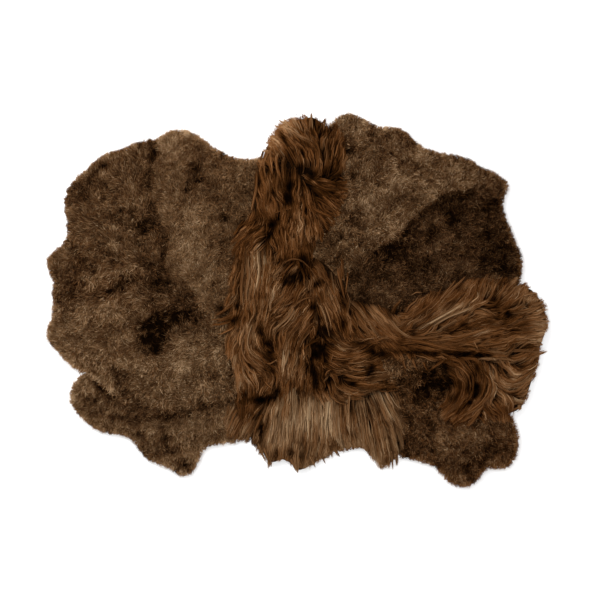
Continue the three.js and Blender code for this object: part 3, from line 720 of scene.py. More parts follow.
# The long wool: four skins whose locks were left 10 to 16 cm long. Each lock is a bundle of strands that
# rises from the hide, lies over the ones before it as it is combed, waves, and draws in to a point.
lock_every = 24 * mm
lock_half_width = 17 * mm
wisps_each = 7
lock_steps = 24
comb_reach = 18
wave_length = 55 * mm
placed_past_rim = 28
highest_wool = 72 * mm
combing = {  # (x, y, heading): which way the locks lie there, in degrees from +X
    "skin_top_long": [
        px_mark(284, 124, 138), px_mark(300, 128, 125), px_mark(312, 122, 95), (-100, 575, 150),
        px_mark(296, 140, 132), px_mark(310, 146, 122), px_mark(318, 158, 102), px_mark(326, 150, 82),
        px_mark(332, 140, 70), (20, 530, 110), (-80, 540, 120), (-95, 515, 110), (-125, 500, 130),
        (65, 470, 90), (95, 465, 75), (125, 485, 75), (-145, 455, 290), px_mark(264, 188, 290),
        (-160, 345, 285), px_mark(268, 205, 275), (-120, 310, 295), px_mark(276, 175, 262),
        px_mark(280, 195, 298), px_mark(292, 185, 262), px_mark(300, 195, 268), px_mark(302, 208, 265),
        px_mark(290, 222, 262), px_mark(283, 235, 275), px_mark(300, 235, 268), px_mark(292, 250, 268),
        px_mark(276, 240, 295), px_mark(308, 245, 275), (45, 420, 315), (100, 410, 345), (150, 395, 355),
        px_mark(320, 195, 320), (110, 335, 320), (140, 310, 325), px_mark(312, 205, 290),
        px_mark(308, 220, 278), px_mark(255, 225, 235), px_mark(246, 232, 225), px_mark(262, 235, 215),
    ],
    "skin_centre_long": [
        px_mark(250, 250, 268), px_mark(258, 265, 266), px_mark(266, 258, 275), px_mark(245, 285, 262),
        px_mark(255, 285, 270), px_mark(235, 270, 250), px_mark(232, 290, 255), px_mark(240, 310, 262),
        px_mark(225, 300, 235), px_mark(288, 262, 220), px_mark(282, 270, 230), px_mark(296, 268, 240),
        px_mark(306, 265, 300), px_mark(312, 275, 305), px_mark(300, 285, 250), px_mark(322, 270, 300),
        px_mark(328, 285, 290), px_mark(335, 295, 295), px_mark(341, 280, 268), px_mark(340, 310, 280),
        px_mark(330, 310, 295), px_mark(326, 330, 300), px_mark(285, 305, 235), px_mark(280, 315, 215),
        px_mark(290, 320, 230), px_mark(272, 305, 260), px_mark(265, 300, 270), px_mark(258, 305, 265),
        px_mark(305, 315, 235), px_mark(300, 330, 240), px_mark(312, 325, 255), px_mark(316, 340, 262),
        px_mark(308, 350, 265), px_mark(252, 330, 262), px_mark(247, 345, 275), px_mark(254, 358, 315),
        px_mark(266, 352, 310), px_mark(262, 368, 325), px_mark(272, 362, 345), px_mark(244, 370, 285),
        px_mark(250, 382, 300), px_mark(240, 385, 265), px_mark(268, 388, 250), px_mark(262, 392, 235),
        px_mark(235, 350, 255), px_mark(232, 330, 250), px_mark(285, 345, 265), px_mark(284, 362, 262),
        px_mark(294, 352, 255), px_mark(300, 365, 250), px_mark(292, 375, 265), px_mark(305, 375, 262),
        px_mark(335, 345, 330), px_mark(345, 357, 0), px_mark(358, 357, 15), px_mark(368, 348, 30),
        px_mark(340, 370, 355), px_mark(350, 372, 15), px_mark(362, 378, 10), px_mark(335, 380, 280),
        px_mark(350, 385, 350), px_mark(352, 330, 280), px_mark(345, 325, 285),
    ],
    "skin_lower_long": [
        px_mark(285, 385, 268), px_mark(300, 390, 268), px_mark(315, 395, 269), px_mark(330, 400, 270),
        px_mark(345, 395, 273), px_mark(360, 395, 278), px_mark(372, 392, 286), px_mark(385, 395, 302),
        px_mark(392, 410, 300), px_mark(390, 440, 285), px_mark(375, 430, 281), px_mark(355, 430, 276),
        px_mark(330, 430, 270), px_mark(305, 430, 268), px_mark(280, 430, 265), px_mark(265, 420, 262),
        (-130, -385, 245), (-175, -400, 240), (-190, -445, 245), px_mark(272, 445, 262), (-130, -500, 255),
        px_mark(300, 460, 262), px_mark(320, 455, 255), px_mark(385, 460, 275), px_mark(394, 460, 280),
        px_mark(340, 445, 285), px_mark(260, 395, 240), px_mark(390, 385, 300),
    ],
    "skin_right_long": [
        px_mark(352, 303, 308), px_mark(362, 318, 308), px_mark(375, 330, 310), px_mark(388, 345, 315),
        px_mark(350, 320, 300), (310, -40, 305), (345, -80, 300), (375, -90, 60), (370, -30, 25),
        (350, -165, 340), (400, -145, 355), (450, -150, 350), (430, -125, 355), (500, -130, 0),
        (520, -160, 10), (570, -150, 10), (600, -135, 15), (640, -120, 15), (635, -95, 30),
        (700, -120, 10), (740, -100, 5), (790, -110, 5), (450, -110, 55), (480, -95, 50), (500, -60, 40),
        (550, -20, 40), (600, -30, 45), (440, -30, 55), (470, -25, 50), (490, 25, 65), (530, 30, 40),
        (580, 40, 45), px_mark(470, 283, 60), (655, 35, 85), (690, 35, 70), (700, 55, 70), (745, 25, 40),
        (665, -40, 335), (700, -55, 5), (745, -50, 35), (790, 0, 65), (830, -5, 45), (865, 0, 30),
        (795, -65, 20), (845, -70, 10), (885, -70, 355), (840, -120, 5), (770, -170, 60), (835, -170, 355),
        (865, -190, 10), (810, -205, 25), (830, -225, 40), (840, -265, 40), (745, -250, 310),
        (770, -280, 5), (725, -305, 330), (755, -310, 40), (790, -335, 40), (825, -310, 55),
        (750, -360, 285), px_mark(525, 400, 330), px_mark(512, 408, 270), px_mark(450, 362, 340),
        px_mark(462, 372, 300), px_mark(468, 388, 265), px_mark(463, 403, 235), px_mark(452, 415, 218),
        px_mark(440, 365, 350), px_mark(425, 360, 340), px_mark(478, 365, 285), px_mark(478, 382, 265),
        px_mark(472, 400, 240), (675, -235, 300), (705, -255, 268), px_mark(490, 393, 250),
        px_mark(478, 405, 225), px_mark(470, 412, 215), px_mark(490, 410, 320), px_mark(485, 415, 310),
        px_mark(380, 357, 275), px_mark(395, 360, 280), px_mark(410, 362, 275), px_mark(470, 356, 5),
        px_mark(490, 357, 5),
    ],
}
placed_locks = {  # (tone, warmth, half width in mm, x, y, x, y, ...) from root to tip
    "skin_top_long": [
        px_lock(0.2, 0.5, 9, 318, 150, 312, 143, 300, 137, 288, 130, 277, 123),
        px_lock(0.2, 0.45, 8, 306, 138, 296, 131, 288, 124, 280, 118),
        px_lock(0.1, 0.6, 7, 302, 130, 296, 124, 291, 116),
        px_lock(0.08, 0.7, 7, 310, 136, 304, 127, 300, 117),
        px_lock(0.05, 0.8, 5, 313, 130, 312, 121, 311, 110),
        px_lock(0, 0.8, 5, 322, 132, 324, 125, 327, 116),
        px_lock(0.05, 0.8, 7, 317, 172, 319, 160, 317, 150, 311, 143, 300, 140),
        px_lock(-0.02, 0.9, 6, 312, 170, 314, 160, 311, 150, 303, 144),
        px_lock(0, 0.9, 7, 306, 166, 307, 156, 303, 148, 296, 142, 288, 138),
        px_lock(0.03, 0.7, 6, 324, 172, 328, 160, 327, 150, 326, 142, 328, 135),
        px_lock(0.07, 0.7, 8, 290, 150, 281, 141, 274, 136, 267, 133),
        px_lock(0.05, 0.8, 8, 284, 158, 277, 150, 271, 143, 266, 139),
        px_lock(0.02, 0.9, 8, 280, 168, 274, 160, 268, 152, 263, 147),
        px_lock(-0.02, 0.9, 8, 275, 172, 268, 163, 262, 158, 256, 158),
        px_lock(0.02, 0.9, 7, 262, 160, 260, 172, 264, 182, 267, 192, 264, 205, 268, 218),
        px_lock(0.03, 0.8, 7, 256, 165, 257, 180, 256, 192, 253, 203, 251, 215),
        px_lock(0.04, 0.8, 8, 270, 165, 273, 178, 277, 188, 283, 198, 286, 207),
        px_lock(0.04, 0.8, 6, 279, 168, 278, 180, 276, 190, 278, 200),
        px_lock(0, 0.9, 6, 266, 170, 270, 185, 270, 197, 267, 208),
        px_lock(0.03, 0.9, 6, 298, 190, 303, 203, 303, 213, 301, 224),
        px_lock(0.08, 0.8, 2, 301, 205, 290, 209, 278, 212, 266, 218),
        (-0.1, 1, 8, 60, 445, 70, 480, 70, 520), (-0.08, 1, 8, 90, 448, 104, 482, 106, 520),
        (-0.1, 1, 8, 122, 450, 134, 482, 130, 515),
        px_lock(-0.16, 1, 7, 305, 180, 315, 185, 326, 190, 340, 191),
        px_lock(-0.12, 1, 7, 310, 195, 320, 200, 330, 207, 338, 215),
        px_lock(-0.06, 1, 7, 308, 205, 315, 212, 325, 216, 335, 220),
        px_lock(0, 0.8, 6, 292, 212, 296, 222, 292, 235, 292, 246),
        px_lock(0.04, 0.7, 7, 302, 215, 302, 228, 301, 240, 303, 250),
        px_lock(0.02, 0.8, 6, 284, 222, 282, 232, 285, 243, 288, 252),
        px_lock(-0.12, 1, 10, 268, 222, 258, 228, 248, 233, 238, 236),
        px_lock(-0.08, 1, 9, 262, 215, 253, 222, 243, 226, 236, 230),
        px_lock(0.14, 0.55, 4, 309, 135, 310, 124, 312, 110),
        px_lock(0.1, 0.6, 4, 318, 138, 321, 127, 327, 114),
        px_lock(0.12, 0.6, 4, 306, 140, 305, 129, 305, 117),
        px_lock(0.14, 0.5, 4, 304, 136, 301, 128, 298, 119),
        px_lock(0.2, 0.45, 5, 302, 136, 297, 126, 292, 114),
        px_lock(0.22, 0.45, 5, 296, 132, 289, 125, 282, 117),
        px_lock(0.2, 0.45, 5, 288, 135, 281, 129, 273, 123),
        px_lock(0.14, 0.55, 5, 283, 143, 275, 138, 266, 133),
        (0.12, 0.6, 6, -70, 545, -98, 558, -126, 570), (0.1, 0.6, 6, -84, 515, -109, 530, -137, 540),
        (0.04, 0.8, 9, -91, 567, -103, 524, -98, 481, -84, 435),
        (0.05, 0.8, 9, -66, 549, -80, 502, -73, 456, -59, 413),
        (0.03, 0.8, 9, -91, 563, -109, 535, -121, 505, -130, 474, -137, 440),
        (0, 0.8, 9, -41, 524, -55, 481, -52, 438, -45, 399),
        (0.02, 0.8, 8, -120, 531, -130, 492, -123, 449, -109, 406),
        (0.2, 0.4, 6, -27, 606, -55, 634, -80, 652), (0.2, 0.4, 6, 5, 606, -16, 638, -34, 663),
        (0.16, 0.5, 4, 52, 592, 48, 634, 44, 677), (0.14, 0.5, 4, 84, 592, 94, 627, 98, 663),
    ],
    "skin_centre_long": [
        (0.27, 0.1, 7, -158, 204, -162, 161, -151, 122, -162, 79, -166, 36),
        (0.23, 0.2, 7, -141, 204, -144, 157, -137, 115, -144, 65, -151, 15),
        (0.3, 0.1, 7, -123, 207, -123, 157, -116, 115, -126, 72, -130, 18),
        px_lock(0.18, 0.35, 6, 268, 246, 269, 260, 270, 272, 268, 285, 266, 300),
        px_lock(0.14, 0.5, 6, 249, 246, 248, 262, 250, 276, 247, 290, 248, 305),
        px_lock(-0.02, 0.7, 6, 243, 250, 243, 270, 241, 290, 243, 308),
        px_lock(0.04, 0.6, 6, 253, 285, 254, 300, 256, 312, 250, 322, 246, 334),
        px_lock(0.04, 0.6, 6, 262, 290, 263, 305, 262, 318, 256, 330),
        px_lock(0, 0.7, 6, 270, 285, 268, 300, 266, 312, 263, 325, 265, 335),
        px_lock(0.11, 0.5, 7, 256, 315, 252, 325, 248, 336, 247, 346, 253, 355, 264, 360),
        px_lock(0.02, 0.7, 6, 260, 325, 257, 335, 256, 345, 262, 352, 272, 357),
        px_lock(0.05, 0.7, 6, 247, 330, 243, 342, 242, 352, 248, 362, 260, 367),
        px_lock(0.02, 0.9, 6, 243, 350, 245, 362, 252, 372, 263, 375),
        px_lock(0.15, 0.4, 4, 291, 299, 292, 308, 288, 317, 280, 325, 270, 331),
        px_lock(0.04, 0.7, 6, 296, 302, 294, 312, 287, 322, 277, 331),
        px_lock(0.05, 0.7, 7, 305, 300, 300, 310, 294, 319, 286, 328, 277, 336),
        px_lock(0.02, 0.8, 7, 311, 306, 304, 315, 297, 325, 289, 334, 282, 340),
        px_lock(0.06, 0.6, 5, 318, 300, 309, 297, 300, 301, 295, 306),
        px_lock(0, 0.7, 5, 309, 290, 303, 295, 300, 300, 294, 304),
        px_lock(0.02, 0.7, 4, 305, 281, 308, 286, 302, 292, 297, 297),
        px_lock(0.11, 0.5, 6, 313, 297, 320, 304, 325, 315, 328, 328, 330, 338),
        px_lock(0.06, 0.6, 6, 319, 296, 326, 308, 330, 320, 332, 332),
        px_lock(0.13, 0.4, 4, 331, 272, 333, 285, 336, 297, 339, 308),
        px_lock(0.1, 0.5, 5, 324, 281, 329, 292, 334, 302, 338, 312),
        px_lock(-0.02, 0.8, 5, 338, 262, 339, 275, 343, 290, 346, 305),
        px_lock(-0.05, 0.8, 4, 342, 255, 343, 270, 345, 285),
        px_lock(-0.12, 0.9, 4, 301, 262, 308, 268, 312, 278, 314, 290),
        px_lock(-0.12, 0.9, 4, 300, 266, 304, 275, 304, 285),
        px_lock(0.02, 0.7, 5, 280, 250, 276, 258, 274, 268, 275, 280),
        px_lock(0.07, 0.6, 4, 291, 256, 284, 262, 279, 270, 277, 282),
        px_lock(0, 0.8, 4, 298, 258, 290, 266, 284, 272, 281, 284),
        px_lock(0.04, 0.8, 5, 288, 290, 280, 296, 273, 302, 270, 308),
        px_lock(0.03, 0.8, 5, 292, 296, 284, 301, 276, 306, 270, 311),
        px_lock(0.02, 0.7, 6, 316, 325, 310, 330, 303, 338, 299, 348),
        px_lock(0, 0.8, 6, 321, 322, 313, 324, 306, 331, 300, 341),
        px_lock(-0.05, 0.9, 5, 323, 338, 315, 340, 306, 345, 302, 352),
        px_lock(0.24, 0.2, 4, 283, 341, 284, 350, 283, 360, 282, 370, 282, 382),
        px_lock(0.19, 0.25, 4, 287, 343, 289, 352, 286, 362, 283, 372),
        px_lock(0.16, 0.3, 5, 296, 344, 298, 354, 297, 364, 296, 374),
        px_lock(0.05, 0.6, 5, 304, 346, 306, 356, 310, 366, 309, 378),
        px_lock(0, 0.9, 7, 243, 362, 247, 373, 254, 383, 260, 392),
        px_lock(0.07, 0.8, 3, 262, 361, 270, 364, 279, 358),
        px_lock(0.03, 0.9, 4, 262, 378, 268, 385, 274, 388),
        px_lock(0.04, 0.8, 4, 276, 372, 272, 381, 266, 390, 262, 396),
        px_lock(0.05, 0.9, 5, 366, 350, 358, 354, 350, 357, 340, 358, 332, 356),
        px_lock(0, 0.9, 5, 368, 354, 360, 359, 350, 361, 343, 366),
        px_lock(0.05, 0.9, 5, 345, 362, 350, 368, 358, 370, 366, 368),
        px_lock(0.06, 0.8, 5, 342, 372, 350, 376, 360, 378, 369, 376),
        px_lock(0.1, 0.6, 3, 329, 375, 325, 380, 321, 386),
        px_lock(-0.02, 0.9, 5, 331, 345, 333, 352, 330, 362, 331, 372),
        px_lock(-0.08, 0.95, 6, 237, 300, 230, 307, 221, 313, 212, 317),
        px_lock(-0.06, 0.95, 6, 240, 308, 231, 316, 221, 320, 208, 321),
        px_lock(-0.1, 0.95, 6, 238, 314, 229, 322, 219, 325, 208, 325),
        px_lock(-0.05, 0.9, 6, 240, 322, 231, 329, 223, 333, 214, 335),
        px_lock(0.05, 0.7, 4, 278, 278, 281, 265, 291, 258, 303, 260, 312, 270, 319, 279),
        px_lock(0.08, 0.7, 3, 290, 301, 294, 306, 291, 314, 286, 320, 279, 325),
        px_lock(0.05, 0.7, 3, 306, 280, 304, 288, 299, 294, 298, 300),
        px_lock(0.03, 0.7, 3, 311, 279, 309, 288, 303, 295, 296, 300),
        px_lock(0.06, 0.6, 3, 274, 312, 281, 306, 289, 304, 296, 300),
        px_lock(0.06, 0.6, 4, 307, 306, 302, 313, 292, 322, 282, 331),
        px_lock(0.1, 0.6, 3, 317, 297, 323, 306, 327, 318, 331, 334),
        px_lock(0, 0.9, 4, 309, 320, 315, 327, 315, 335, 309, 343),
        px_lock(0.04, 0.7, 4, 327, 277, 324, 290, 326, 306),
        px_lock(0.16, 0.5, 4, 332, 290, 337, 301, 341, 312),
        px_lock(-0.04, 0.9, 3, 341, 262, 342, 275, 341, 290),
        px_lock(-0.02, 0.9, 2, 348, 268, 347, 282, 345, 296),
        px_lock(0.2, 0.3, 4, 286, 346, 284, 358, 284, 369, 282, 382),
        px_lock(0.14, 0.4, 3, 298, 351, 297, 359, 294, 367),
        px_lock(0.08, 0.7, 2, 329, 357, 343, 360, 361, 355),
        px_lock(0.05, 0.8, 3, 338, 366, 347, 371, 364, 373),
        px_lock(0.04, 0.8, 3, 344, 379, 354, 381, 364, 378),
        px_lock(0.04, 0.8, 3, 324, 380, 327, 372, 333, 368),
        px_lock(-0.02, 0.9, 3, 262, 340, 268, 349, 275, 355),
        px_lock(0.02, 0.8, 3, 318, 263, 322, 272, 325, 282),
        px_lock(0.1, 0.5, 4, 245, 247, 246, 259, 246, 271, 243, 283),
    ],
    "skin_lower_long": [
        px_lock(-0.04, 0.8, 8, 265, 403, 257, 410, 249, 420, 243, 430),
        px_lock(-0.08, 0.8, 8, 268, 408, 261, 418, 256, 430, 255, 440),
        px_lock(0.17, 0.2, 4, 327, 393, 327, 410, 325, 425, 325, 437),
        px_lock(0.1, 0.3, 7, 290, 395, 290, 415, 288, 435),
        px_lock(0.12, 0.3, 8, 303, 395, 304, 415, 300, 432),
        px_lock(0.14, 0.2, 6, 312, 405, 314, 420, 317, 437),
        px_lock(0.06, 0.5, 5, 350, 387, 349, 400, 348, 415),
        px_lock(0.06, 0.5, 6, 384, 388, 390, 400, 395, 412),
        px_lock(0.08, 0.4, 7, 276, 410, 275, 425, 272, 440),
        px_lock(0, 0.5, 6, 272, 435, 270, 450, 268, 467), px_lock(0, 0.5, 6, 283, 440, 284, 452, 280, 463),
        px_lock(0, 0.5, 8, 300, 440, 298, 455, 298, 475),
        px_lock(-0.02, 0.6, 6, 326, 440, 330, 450, 333, 461),
        px_lock(-0.02, 0.6, 6, 377, 446, 380, 459, 382, 473),
        px_lock(0, 0.5, 5, 390, 446, 392, 459, 394, 472),
        px_lock(0.04, 0.5, 6, 262, 442, 267, 454, 270, 468),
        px_lock(0.02, 0.5, 5, 256, 440, 261, 452, 267, 466),
        px_lock(0.06, 0.45, 6, 293, 452, 296, 463, 298, 476),
        px_lock(0.02, 0.5, 6, 289, 454, 294, 464, 298, 474),
        px_lock(-0.04, 0.6, 5, 308, 452, 312, 460, 316, 468),
        px_lock(0, 0.6, 5, 342, 432, 345, 441, 348, 452), (-0.02, 0.6, 7, 306, -533, 318, -573, 326, -612),
        (0, 0.5, 7, -66, -530, -98, -569, -112, -612), (0, 0.5, 6, 345, -526, 352, -569, 353, -604),
        (0.02, 0.5, 6, 70, -519, 84, -555, 98, -590), (0, 0.5, 6, 41, -533, 52, -573, 62, -608),
        (0, 0.5, 6, -80, -533, -95, -569, -98, -605), (-0.02, 0.5, 6, 120, -505, 134, -537, 148, -569),
    ],
    "skin_right_long": [
        px_lock(0.11, 0.6, 7, 350, 300, 358, 307, 366, 318, 373, 330, 380, 340, 392, 350),
        px_lock(0.02, 0.8, 6, 348, 304, 356, 312, 364, 325, 372, 337, 382, 347),
        px_lock(-0.02, 0.9, 6, 345, 310, 353, 322, 361, 334, 371, 344),
        px_lock(0.11, 0.6, 6, 384, 312, 390, 320, 396, 328, 404, 335, 415, 339),
        px_lock(0.04, 0.9, 8, 395, 338, 410, 340, 425, 343, 440, 347, 455, 350, 470, 350),
        px_lock(-0.05, 0.9, 7, 400, 344, 415, 346, 430, 349, 445, 352),
        px_lock(0.04, 0.7, 7, 392, 333, 405, 337, 420, 338, 435, 336, 450, 332),
        px_lock(0, 0.8, 7, 398, 325, 410, 320, 420, 313, 430, 305, 438, 295, 444, 284),
        px_lock(0.04, 0.7, 7, 405, 330, 418, 322, 430, 312, 443, 302, 455, 292, 466, 282),
        px_lock(0.15, 0.5, 8, 412, 334, 426, 324, 440, 316, 455, 308, 467, 300),
        px_lock(0.18, 0.4, 9, 425, 333, 436, 324, 448, 317, 462, 312, 475, 306),
        px_lock(0.17, 0.4, 6, 432, 336, 440, 329, 452, 323, 463, 318),
        px_lock(0, 0.9, 4, 430, 310, 440, 300, 450, 290, 462, 280),
        px_lock(0.02, 0.8, 4, 470, 310, 474, 298, 476, 286, 478, 276),
        px_lock(0.05, 0.7, 4, 480, 305, 483, 293, 485, 282, 489, 272),
        px_lock(-0.02, 0.8, 4, 486, 302, 492, 291, 499, 281, 505, 273),
        px_lock(0.07, 0.7, 7, 498, 306, 505, 297, 513, 291, 522, 288),
        px_lock(0.05, 0.7, 8, 505, 310, 515, 301, 525, 294, 536, 292),
        px_lock(-0.01, 0.9, 8, 462, 342, 480, 338, 495, 333, 510, 328, 525, 322, 540, 317),
        px_lock(-0.01, 0.9, 8, 470, 350, 488, 346, 505, 343, 522, 340, 538, 338),
        px_lock(-0.01, 0.9, 7, 440, 340, 460, 337, 480, 331, 495, 325),
        px_lock(0.03, 0.7, 7, 500, 312, 512, 313, 525, 311, 540, 305),
        px_lock(0.06, 0.7, 4, 478, 309, 487, 310, 494, 315, 502, 320),
        px_lock(0.05, 0.7, 4, 505, 352, 520, 350, 535, 352, 549, 351),
        (-0.02, 0.8, 8, 771, -202, 824, -197, 863, -188, 899, -178),
        px_lock(0.03, 0.7, 5, 515, 322, 530, 319, 549, 317),
        px_lock(0.15, 0.4, 4, 500, 362, 492, 358, 482, 358, 472, 360),
        px_lock(0.05, 0.8, 3, 478, 352, 475, 346, 472, 340),
        px_lock(-0.09, 1, 5, 447, 366, 456, 366, 464, 372, 468, 383, 466, 394, 458, 404, 450, 411),
        px_lock(-0.07, 1, 5, 449, 372, 455, 376, 458, 386, 455, 396),
        px_lock(-0.06, 1, 5, 455, 363, 466, 366, 473, 376, 474, 388, 470, 398, 460, 408, 448, 416),
        px_lock(0.05, 0.75, 7, 484, 364, 489, 374, 490, 386, 486, 397, 477, 406, 465, 413, 452, 419),
        px_lock(0, 0.85, 6, 490, 362, 496, 372, 497, 383),
        px_lock(-0.03, 1, 5, 482, 368, 485, 380, 483, 392, 477, 402, 468, 410),
        (-0.04, 0.9, 9, 692, -234, 717, -277, 760, -292, 806, -270, 845, -227),
        (0, 0.8, 9, 699, -284, 735, -327, 781, -324, 824, -284),
        (0.03, 0.7, 9, 692, -334, 728, -373, 774, -366, 813, -331),
        (0.02, 0.8, 8, 735, -206, 771, -213, 813, -192, 849, -156),
        (-0.02, 0.8, 8, 753, -252, 788, -249, 824, -227, 856, -195),
        px_lock(-0.05, 0.9, 7, 492, 400, 500, 410, 508, 417),
        px_lock(-0.02, 0.9, 6, 480, 405, 488, 412, 495, 420),
        px_lock(0, 0.9, 4, 402, 357, 404, 366, 408, 371),
        px_lock(0.02, 0.9, 4, 412, 358, 415, 366, 418, 371),
        px_lock(0, 0.9, 4, 423, 360, 426, 368, 430, 373),
        px_lock(-0.05, 1, 6, 447, 356, 440, 362, 433, 368, 428, 372),
        px_lock(0.1, 0.5, 2, 424, 293, 416, 292, 411, 296),
        px_lock(0.12, 0.6, 5, 530, 319, 540, 318, 551, 315),
        px_lock(0.1, 0.6, 5, 527, 309, 537, 304, 547, 300),
        (0.08, 0.7, 6, 810, -206, 853, -195, 899, -181), (0.08, 0.7, 5, 799, -252, 831, -241, 860, -220),
        px_lock(0.1, 0.7, 5, 530, 329, 539, 329, 547, 330),
        px_lock(0.06, 0.7, 5, 530, 342, 537, 343, 545, 345),
        (0.08, 0.7, 6, 788, -302, 817, -288, 845, -266), (0.06, 0.7, 6, 767, -345, 796, -338, 828, -316),
        (0.04, 0.7, 6, 738, -391, 771, -388, 799, -370),
        px_lock(0.12, 0.6, 6, 518, 297, 529, 294, 540, 293),
        px_lock(0.1, 0.6, 5, 508, 290, 518, 286, 528, 284), (-0.04, 0.8, 4, 329, -53, 343, -24, 368, 4),
        (0.02, 0.8, 5, 372, -60, 393, -21, 432, 8), (-0.04, 0.8, 6, 404, -60, 447, -28, 479, 15),
        px_lock(0.05, 0.7, 4, 426, 314, 438, 301, 450, 287, 458, 278),
        px_lock(0.08, 0.7, 4, 434, 311, 446, 297, 458, 284, 468, 274),
        px_lock(0.02, 0.8, 3, 446, 306, 458, 292, 469, 278),
        px_lock(0.06, 0.7, 3, 474, 303, 480, 288, 487, 272),
        px_lock(0.08, 0.7, 3, 480, 304, 486, 290, 493, 271),
        px_lock(0.05, 0.7, 3, 486, 304, 493, 290, 500, 273),
        px_lock(0.04, 0.7, 4, 494, 304, 501, 292, 509, 280),
        px_lock(0.04, 0.7, 4, 500, 304, 508, 295, 517, 285),
        px_lock(0.06, 0.6, 6, 505, 298, 514, 290, 523, 283),
        px_lock(0.1, 0.5, 2, 349, 299, 358, 309, 371, 327),
        px_lock(0.1, 0.6, 3, 352, 303, 362, 315, 374, 330, 385, 340),
        px_lock(0, 0.9, 4, 447, 363, 459, 366, 468, 375, 471, 388, 466, 400),
        px_lock(0.02, 0.9, 3, 452, 368, 461, 374, 464, 386, 459, 400, 450, 410),
        px_lock(-0.04, 1, 4, 480, 368, 489, 378, 491, 390, 484, 402),
    ],
}
lock_length = {
    "skin_top_long": 105, "skin_centre_long": 110,
    "skin_lower_long": 160, "skin_right_long": 120,
}
lock_wave = {"skin_top_long": 9, "skin_centre_long": 13, "skin_lower_long": 6, "skin_right_long": 13}
long_steps = {"skin_top_long": 9, "skin_centre_long": 9, "skin_lower_long": 7, "skin_right_long": 9}
strands_a_wisp = {"skin_top_long": 4, "skin_centre_long": 4, "skin_lower_long": 5, "skin_right_long": 4}
long_tone = {
    "skin_top_long": 0.36, "skin_centre_long": 0.41,
    "skin_lower_long": 0.57, "skin_right_long": 0.43,
}
long_warmth = {
    "skin_top_long": 0.98, "skin_centre_long": 0.78,
    "skin_lower_long": 0.5, "skin_right_long": 0.88,
}
rim_reach = {
    "skin_top_long": (-16, 10), "skin_centre_long": (-14, 5),
    "skin_lower_long": (-16, 8), "skin_right_long": (-16, 7),
}
rim_light = {"skin_top_long": 0.12, "skin_centre_long": 0, "skin_lower_long": 0.03, "skin_right_long": 0.13}
wisp_spread = {
    "skin_top_long": 0.09, "skin_centre_long": 0.10,
    "skin_lower_long": 0.09, "skin_right_long": 0.08,
}
long_slots = {
    "skin_top_long": "long_russet", "skin_centre_long": "long_brown", "skin_lower_long": "long_golden",
    "skin_right_long": "long_brown",
}


def combed(root, marks, length, wave, phase, steps):
    """The locks' middle lines from their roots (n, 2). Each step goes a share of the length along the
    heading there, turned by a sine wave that grows from the root."""
    places = [root]
    for step in range(steps):
        here = places[-1]
        angle = heading(here, marks, comb_reach)
        gone = length * step / steps
        angle += wave * np.sin(gone / wave_length * 2 * np.pi + phase) * eased(gone / (40 * mm) + 0.2)
        places.append(here + (length / steps)[:, None] * np.stack([np.cos(angle), np.sin(angle)], axis=1))
    return np.stack(places, axis=1)


def drawn(points, fine):
    """A placed lock's middle line: its points, spaced evenly along it, then rounded by averaging each
    with its neighbours a few times."""
    points = np.reshape(points, (-1, 2)) * mm
    gone = np.r_[0, np.cumsum(np.linalg.norm(np.diff(points, axis=0), axis=1))]
    even = np.linspace(0, gone[-1], fine + 1)
    line = np.stack([np.interp(even, gone, points[:, i]) for i in (0, 1)], axis=1)
    for _ in range(4):
        line[1:-1] = (line[:-2] + 2 * line[1:-1] + line[2:]) / 4
    return line


def laid(line, lock, reach, offset, forward):
    """Each strand's plan from its lock's middle line: the line up to a share of its length, moved to the
    left by offset and on by forward. Gives the plan and which way is left along it."""
    place = np.linspace(0, 1, offset.shape[1]) * reach[:, None] * (line.shape[1] - 1)
    before = np.minimum(place.astype(int), line.shape[1] - 2)
    share = (place - before)[..., None]
    middle = line[lock[:, None], before] * (1 - share) + line[lock[:, None], before + 1] * share
    ahead = line[lock[:, None], before + 1] - line[lock[:, None], before]
    ahead /= np.maximum(np.linalg.norm(ahead, axis=2, keepdims=True), 1e-9)
    left = np.stack([-ahead[..., 1], ahead[..., 0]], axis=-1)
    return middle + left * offset[..., None] + ahead[:, :1] * forward[..., None], left


